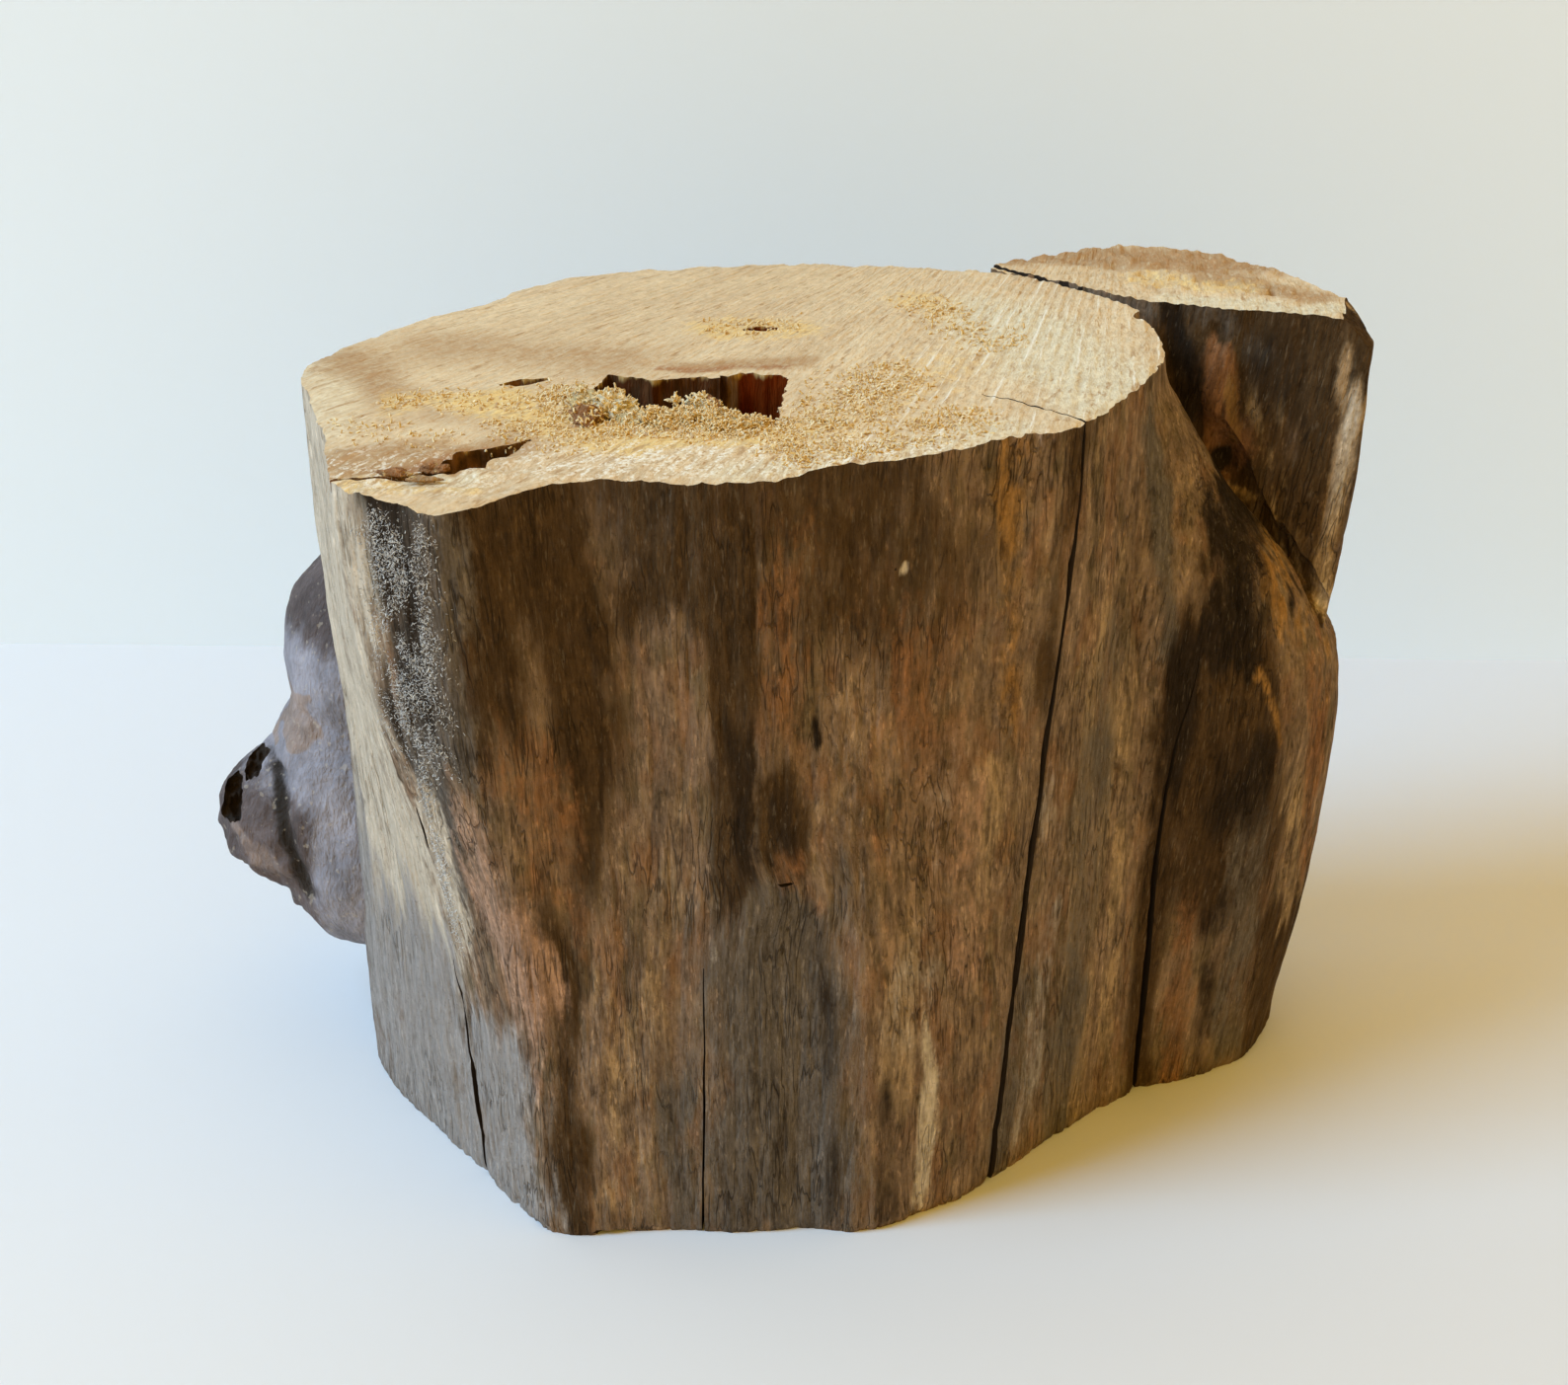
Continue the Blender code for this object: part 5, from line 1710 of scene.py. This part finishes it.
# Fibres and crumbs by Geometry Nodes
def scatter_tree(name, build_shape):
    """Tree that stands random copies of a small shape on a mesh, as thickly as an attribute says."""
    tree = bpy.data.node_groups.new(name, "GeometryNodeTree")
    face = tree.interface
    inputs = {
        "Geometry": "Geometry", "Mask": "String", "Density": "Float", "Length": "Float",
        "Thickness": "Float", "Tilt": "Float", "Seed": "Int", "Material": "Material",
    }
    for label, kind in inputs.items():
        face.new_socket(label, in_out="INPUT", socket_type=f"NodeSocket{kind}")
    face.new_socket("Geometry", in_out="OUTPUT", socket_type="NodeSocketGeometry")
    board = Board(tree)
    given = board.put("NodeGroupInput").outputs
    mask = board.put("GeometryNodeInputNamedAttribute", {"Name": given["Mask"]}, data_type="FLOAT")
    density = board.times(mask.outputs["Attribute"], given["Density"])
    points = board.put(
        "GeometryNodeDistributePointsOnFaces",
        {"Mesh": given["Geometry"], "Density": density, "Seed": given["Seed"]},
        distribute_method="RANDOM",
    )
    back = board.times(given["Tilt"], -1.0)
    low = board.put("ShaderNodeCombineXYZ", {"X": back, "Y": back}).outputs[0]
    values = {"X": given["Tilt"], "Y": given["Tilt"], "Z": 2 * math.pi}
    high = board.put("ShaderNodeCombineXYZ", values).outputs[0]
    values = {"Min": low, "Max": high, "Seed": given["Seed"]}
    turn = board.put("FunctionNodeRandomValue", values, data_type="FLOAT_VECTOR")
    turned = board.put(
        "FunctionNodeRotateRotation", {"Rotation": points.outputs["Rotation"]}, rotation_space="LOCAL",
    )
    as_turn = board.put("FunctionNodeEulerToRotation", {0: turn.outputs["Value"]})
    board.feed(turned.inputs["Rotate By"], as_turn.outputs[0])
    size = board.put("FunctionNodeRandomValue", {2: 0.45, 3: 1.4, "Seed": 7}, data_type="FLOAT")
    shape = build_shape(board, given)
    copies = board.put("GeometryNodeInstanceOnPoints", {
        "Points": points.outputs["Points"], "Instance": shape, "Rotation": turned.outputs[0],
        "Scale": size.outputs[1],
    })
    tint = board.put("FunctionNodeRandomValue", {2: 0.0, 3: 1.0, "Seed": 3}, data_type="FLOAT")
    kept = board.put(
        "GeometryNodeStoreNamedAttribute",
        {"Geometry": copies.outputs[0], "Name": "tint", "Value": tint.outputs[1]},
        data_type="FLOAT", domain="INSTANCE",
    )
    real = board.put("GeometryNodeRealizeInstances", {0: kept.outputs[0]})
    values = {"Geometry": real.outputs[0], "Material": given["Material"]}
    dressed = board.put("GeometryNodeSetMaterial", values)
    board.put("NodeGroupOutput", {"Geometry": dressed.outputs[0]})
    return tree


def fibre_shape(board, given):
    """Bent fibre that thins out to its tip."""
    values = {"X": board.times(given["Length"], 0.3), "Z": given["Length"]}
    tip = board.put("ShaderNodeCombineXYZ", values)
    bend = board.put("ShaderNodeCombineXYZ", {"Z": board.times(given["Length"], 0.75)})
    curve = board.put(
        "GeometryNodeCurveQuadraticBezier",
        {"Resolution": 2, "Start": (0.0, 0.0, 0.0), "Middle": bend.outputs[0], "End": tip.outputs[0]},
    )
    along = board.put("GeometryNodeSplineParameter").outputs["Factor"]
    thin = board.put(
        "GeometryNodeSetCurveRadius",
        {"Curve": curve.outputs[0], "Radius": board.minus(1.0, board.times(along, 0.5))},
    )
    ring = board.put("GeometryNodeCurvePrimitiveCircle", {"Resolution": 3}, mode="RADIUS")
    board.feed(ring.inputs["Radius"], board.times(given["Thickness"], 0.5))
    body = board.put(
        "GeometryNodeCurveToMesh",
        {"Curve": thin.outputs[0], "Profile Curve": ring.outputs[0], "Fill Caps": True},
    )
    return body.outputs[0]


def crumb_shape(board, given):
    """Lumpy crumb."""
    ball = board.put(
        "GeometryNodeMeshIcoSphere", {"Radius": board.times(given["Length"], 0.5), "Subdivisions": 1},
    )
    place = board.put("GeometryNodeInputPosition").outputs[0]
    cloud = board.put("ShaderNodeTexNoise", {"Vector": place, "Scale": 900.0, "Detail": 1.0})
    push = board.times(board.minus(cloud.outputs["Fac"], 0.5), 1.3)
    move = board.put("ShaderNodeVectorMath", {0: place, "Scale": push}, operation="SCALE")
    lump = board.put("GeometryNodeSetPosition", {"Geometry": ball.outputs[0], "Offset": move.outputs[0]})
    return lump.outputs[0]


def scatter(name, host, build_shape, settings):
    """Piece of small copies on a host's mesh."""
    piece = bpy.data.objects.new(name, host.data.copy())
    bpy.context.scene.collection.objects.link(piece)
    modifier = piece.modifiers.new(name, "NODES")
    tree = scatter_tree(name, build_shape)
    modifier.node_group = tree
    sockets = {item.name: item.identifier for item in tree.interface.items_tree if item.in_out == "INPUT"}
    for label, value in settings.items():
        modifier[sockets[label]] = value
    flatten(piece)
    return piece


def object_named(name):
    """Finished piece that another piece stands on."""
    found = bpy.data.objects.get(name)
    if found is None:
        raise RuntimeError(f"{name} has to be made first")
    return found


# Operators
class MAPLELOG_OT_main_stem(bpy.types.Operator):
    """Make the main stem with its grain, saw marks, pocket and cracks"""

    bl_idname = "maple_log.main_stem"
    bl_label = "Main Stem"

    def execute(self, context):
        piece = make_main_stem(context.scene.maple_log_shape)
        points = mesh_points(piece.data)
        front = front_share(points)
        zones = ((FRONT_ZONES, front), (REAR_ZONES, 1.0 - front))
        keep_side_attributes(piece, grain_places(points), zones)
        keep_cut_attributes(piece, TOP_PATCHES, context.scene.maple_log_shape.saw_pitch / MM, 1.0)
        store(piece.data, "torn", fuzz_share(points))
        corner = side_zone(points, *GREY_CORNER)
        edge = 0.6 * side_zone(points, *GREY_EDGE)
        below = smooth_step(TOP_CUT - 2.5, TOP_CUT - 5.0, points[:, 2])
        corner = np.maximum(corner, edge) * front * below
        store(piece.data, "fuzzy", corner * smooth_step(-0.7, 0.6, noise(points, (2.4, 2.4, 4.0), 65)))
        piece.data.set_sharp_from_angle(angle=math.radians(SHARP_EDGE))
        finish_piece(piece)
        return {"FINISHED"}


class MAPLELOG_OT_second_stem(bpy.types.Operator):
    """Make the second stem"""

    bl_idname = "maple_log.second_stem"
    bl_label = "Second Stem"

    def execute(self, context):
        piece = make_second_stem(context.scene.maple_log_shape)
        points = mesh_points(piece.data)
        front = smooth_step(60.0, 48.0, points[:, 1])
        zones = ((FORK_ZONES, front), (REAR_ZONES, 1.0 - front))
        keep_side_attributes(piece, grain_places(points), zones)
        keep_cut_attributes(piece, FORK_PATCHES, context.scene.maple_log_shape.saw_pitch / MM, 0.15)
        piece.data.set_sharp_from_angle(angle=math.radians(SHARP_EDGE))
        finish_piece(piece)
        return {"FINISHED"}


class MAPLELOG_OT_burl(bpy.types.Operator):
    """Make the burl"""

    bl_idname = "maple_log.burl"
    bl_label = "Burl"

    def execute(self, context):
        piece = make_burl()
        points = mesh_points(piece.data)
        low = smooth_step(76.0, 62.0, points[:, 2]) * smooth_step(-97.0, -106.0, points[:, 0])
        upper = smooth_step(100.0, 112.0, points[:, 2])
        store(piece.data, "bruised", np.maximum(low, 0.9 * upper))
        wander = np.column_stack([noise(points, 5.0, 67), noise(points, 5.0, 69)])
        off = points[:, [0, 2]] + 2.6 * wander
        above = smooth_step(0.0, 1.0, off[:, 1] - 76.0 - 0.5 * (off[:, 0] + 112.0))
        below = smooth_step(96.5, 95.5, off[:, 1] - 0.35 * (off[:, 0] + 100.0))
        beside = smooth_step(-97.5, -99.5, off[:, 0] + 0.3 * (off[:, 1] - 84.0))
        in_front = points[:, 1] < BURL_FRONT
        flaked = np.minimum(above, below) * (0.85 * beside * in_front)
        lower = near_line(off, (-122, 57), (-112, 49), 3.2, 4)
        store(piece.data, "broken", np.maximum(flaked, 0.5 * lower))
        # Painted shade: the groove is darkened nearly black along its line.
        groove = near_line(points[:, [0, 2]], *BURL_GROOVE, 2.6, 2)
        store(piece.data, "groove_shade", 0.95 * groove * in_front)
        piece.data.set_sharp_from_angle(angle=math.radians(SHARP_EDGE))
        finish_piece(piece)
        return {"FINISHED"}


class MAPLELOG_OT_crumb_lumps(bpy.types.Operator):
    """Make the lumps of crumbled wood in the pocket and by the split"""

    bl_idname = "maple_log.crumb_lumps"
    bl_label = "Crumb Lumps"

    def execute(self, context):
        piece = make_lumps()
        points = mesh_points(piece.data)
        bank = smooth_step(-19.0, -17.0, points[:, 0]) * smooth_step(-19.5, -21.5, points[:, 1])
        mound = 0.22 * smooth_step(-34.0, -31.0, points[:, 0])
        level = smooth_step(TOP_CUT - 3.0, TOP_CUT - 1.5, points[:, 2])
        store(piece.data, "torn", np.maximum(bank, mound) * level)
        finish_piece(piece)
        return {"FINISHED"}


class MAPLELOG_OT_torn_fibres(bpy.types.Operator):
    """Stand torn fibres and crumbs on the top cut and its lumps, and pale fuzz on the grey corner"""

    bl_idname = "maple_log.torn_fibres"
    bl_label = "Torn Fibres"

    def execute(self, context):
        shape = context.scene.maple_log_shape
        colours = context.scene.maple_log_colours
        fibre = {
            "Mask": "torn", "Density": float(shape.fibre_density), "Length": shape.fibre_length,
            "Thickness": 0.0004, "Tilt": 1.4, "Seed": 5,
            "Material": strand_material("torn_fibre", colours.honey, colours.fresh, 0.8),
        }
        crumb = {
            "Mask": "torn", "Density": float(shape.crumb_density), "Length": 0.0007,
            "Thickness": 0.0, "Tilt": 1.5, "Seed": 12,
            "Material": strand_material("crumb", colours.stain, colours.fresh, 0.85),
        }
        fluff = {
            "Mask": "fuzzy", "Density": float(shape.fuzz_density), "Length": 0.0005,
            "Thickness": 0.00014, "Tilt": 1.45, "Seed": 9,
            "Material": strand_material("pale_fibre", colours.silver, colours.fluff, 0.8),
        }
        for name, host, build_shape, settings in (
            ("torn_fibres", "main_stem", fibre_shape, fibre),
            ("crumbs", "main_stem", crumb_shape, crumb),
            ("lump_fibres", "crumb_lumps", fibre_shape, fibre),
            ("pale_fuzz", "main_stem", fibre_shape, fluff),
        ):
            finish_piece(scatter(name, object_named(host), build_shape, settings))
        return {"FINISHED"}


def paper_material(name, colour, seen_from_behind, glow=0.0):
    """Plain matt paper of the floor and the wall. Its glow is only seen and lights nothing."""
    material, board, shader = new_material(name, 0.7)
    board.feed(shader.inputs["Base Color"], colour)
    if glow:
        seen = board.put("ShaderNodeLightPath").outputs["Is Camera Ray"]
        board.feed(shader.inputs["Emission Color"], GLOW_COLOUR)
        board.feed(shader.inputs["Emission Strength"], board.times(seen, glow))
    if not seen_from_behind:
        back = board.put("ShaderNodeNewGeometry").outputs["Backfacing"]
        clear = board.put("ShaderNodeBsdfTransparent")
        mixed = board.put("ShaderNodeMixShader", {0: back, 1: shader.outputs[0], 2: clear.outputs[0]})
        board.feed(material.node_tree.nodes["Material Output"].inputs["Surface"], mixed.outputs[0])
    return material


def room_world(studio):
    """Even light all round, which the camera itself sees as a pale distance."""
    world = bpy.data.worlds.new("room")
    world.use_nodes = True
    board = Board(world.node_tree)
    sky = world.node_tree.nodes["Background"]
    board.feed(sky.inputs["Color"], studio.room_colour)
    sky.inputs["Strength"].default_value = studio.room_light
    far = board.put("ShaderNodeBackground", {"Color": studio.distance, "Strength": 1.0})
    seen = board.put("ShaderNodeLightPath").outputs["Is Camera Ray"]
    mixed = board.put("ShaderNodeMixShader", {0: seen, 1: sky.outputs[0], 2: far.outputs[0]})
    board.feed(world.node_tree.nodes["World Output"].inputs["Surface"], mixed.outputs[0])
    return world


def add_sheet(name, corners, material):
    """Flat stage sheet with its corners in metres."""
    mesh = bpy.data.meshes.new(name)
    mesh.from_pydata(corners, [], [(0, 1, 2, 3)])
    mesh.materials.append(material)
    sheet = bpy.data.objects.new(name, mesh)
    bpy.context.scene.collection.objects.link(sheet)
    return sheet


def add_window(power, colour):
    """Soft light of a window, which shines at the middle of the log."""
    lamp = bpy.data.lights.new("window", "AREA")
    lamp.shape = "RECTANGLE"
    lamp.size, lamp.size_y = WINDOW_SIZE
    lamp.energy = power
    lamp.color = colour
    item = bpy.data.objects.new("window", lamp)
    item.location = WINDOW_PLACE
    aim = np.array(WINDOW_AIM) - np.array(WINDOW_PLACE)
    flat = math.hypot(aim[0], aim[1])
    item.rotation_euler = (math.atan2(flat, -aim[2]), 0.0, math.atan2(aim[1], aim[0]) - math.pi / 2)
    bpy.context.scene.collection.objects.link(item)


class MAPLELOG_OT_stage(bpy.types.Operator):
    """Make the floor, the wall, the lights and the camera"""

    bl_idname = "maple_log.stage"
    bl_label = "Stage"

    def execute(self, context):
        studio = context.scene.maple_log_studio
        reach = FLOOR_REACH
        floor = paper_material("floor_paper", studio.paper, True)
        add_sheet("floor", [
            (-reach, -reach, 0), (reach, -reach, 0), (reach, reach, 0), (-reach, reach, 0),
        ], floor)
        slope = math.tan(math.radians(WALL_TURN))
        left, right = WALL_PLACE - reach * slope, WALL_PLACE + reach * slope
        wall = paper_material("wall_paper", studio.paper, False, studio.wall_glow)
        add_sheet("wall", [
            (-reach, left, 0), (reach, right, 0),
            (reach, right, WALL_HEIGHT), (-reach, left, WALL_HEIGHT),
        ], wall)
        add_window(studio.window_power, studio.window_colour)
        context.scene.view_settings.view_transform = "Standard"
        context.scene.world = room_world(studio)
        data = bpy.data.cameras.new("camera")
        data.sensor_width = SENSOR
        data.lens = SENSOR * PHOTO_FOCUS / PHOTO_WIDTH
        data.clip_start = 0.01
        camera = bpy.data.objects.new("camera", data)
        camera.location = CAMERA_PLACE
        camera.rotation_euler = (math.radians(CAMERA_TILT), 0.0, 0.0)
        context.scene.collection.objects.link(camera)
        context.scene.camera = camera
        return {"FINISHED"}


OPERATORS = (
    MAPLELOG_OT_main_stem,
    MAPLELOG_OT_second_stem,
    MAPLELOG_OT_burl,
    MAPLELOG_OT_crumb_lumps,
    MAPLELOG_OT_torn_fibres,
    MAPLELOG_OT_stage,
)


class MAPLELOG_PT_panel(bpy.types.Panel):
    """Sizes, colours and buttons of the maple log"""

    bl_idname = "MAPLELOG_PT_panel"
    bl_label = "Maple Log"
    bl_space_type = "VIEW_3D"
    bl_region_type = "UI"
    bl_category = "Maple Log"

    def draw(self, context):
        layout = self.layout
        for name in SETTINGS:
            settings = getattr(context.scene, name)
            box = layout.box()
            for key in settings.__annotations__:
                box.prop(settings, key)
        for operator in OPERATORS:
            layout.operator(operator.bl_idname)


SETTINGS = {
    "maple_log_shape": MapleLogShape,
    "maple_log_colours": MapleLogColours,
    "maple_log_studio": MapleLogStudio,
}


def register():
    """Add the settings, the operators and the panel to Blender."""
    for name, group in SETTINGS.items():
        bpy.utils.register_class(group)
        setattr(bpy.types.Scene, name, PointerProperty(type=group))
    for operator in OPERATORS:
        bpy.utils.register_class(operator)
    bpy.utils.register_class(MAPLELOG_PT_panel)


def unregister():
    """Take the panel, the operators and the settings out again."""
    bpy.utils.unregister_class(MAPLELOG_PT_panel)
    for operator in reversed(OPERATORS):
        bpy.utils.unregister_class(operator)
    for name, group in SETTINGS.items():
        delattr(bpy.types.Scene, name)
        bpy.utils.unregister_class(group)


def main():
    """Make the whole log and its studio."""
    register()
    for operator in ("stage", "main_stem", "second_stem", "burl", "crumb_lumps", "torn_fibres"):
        getattr(bpy.ops.maple_log, operator)()


if __name__ == "__main__":
    main()
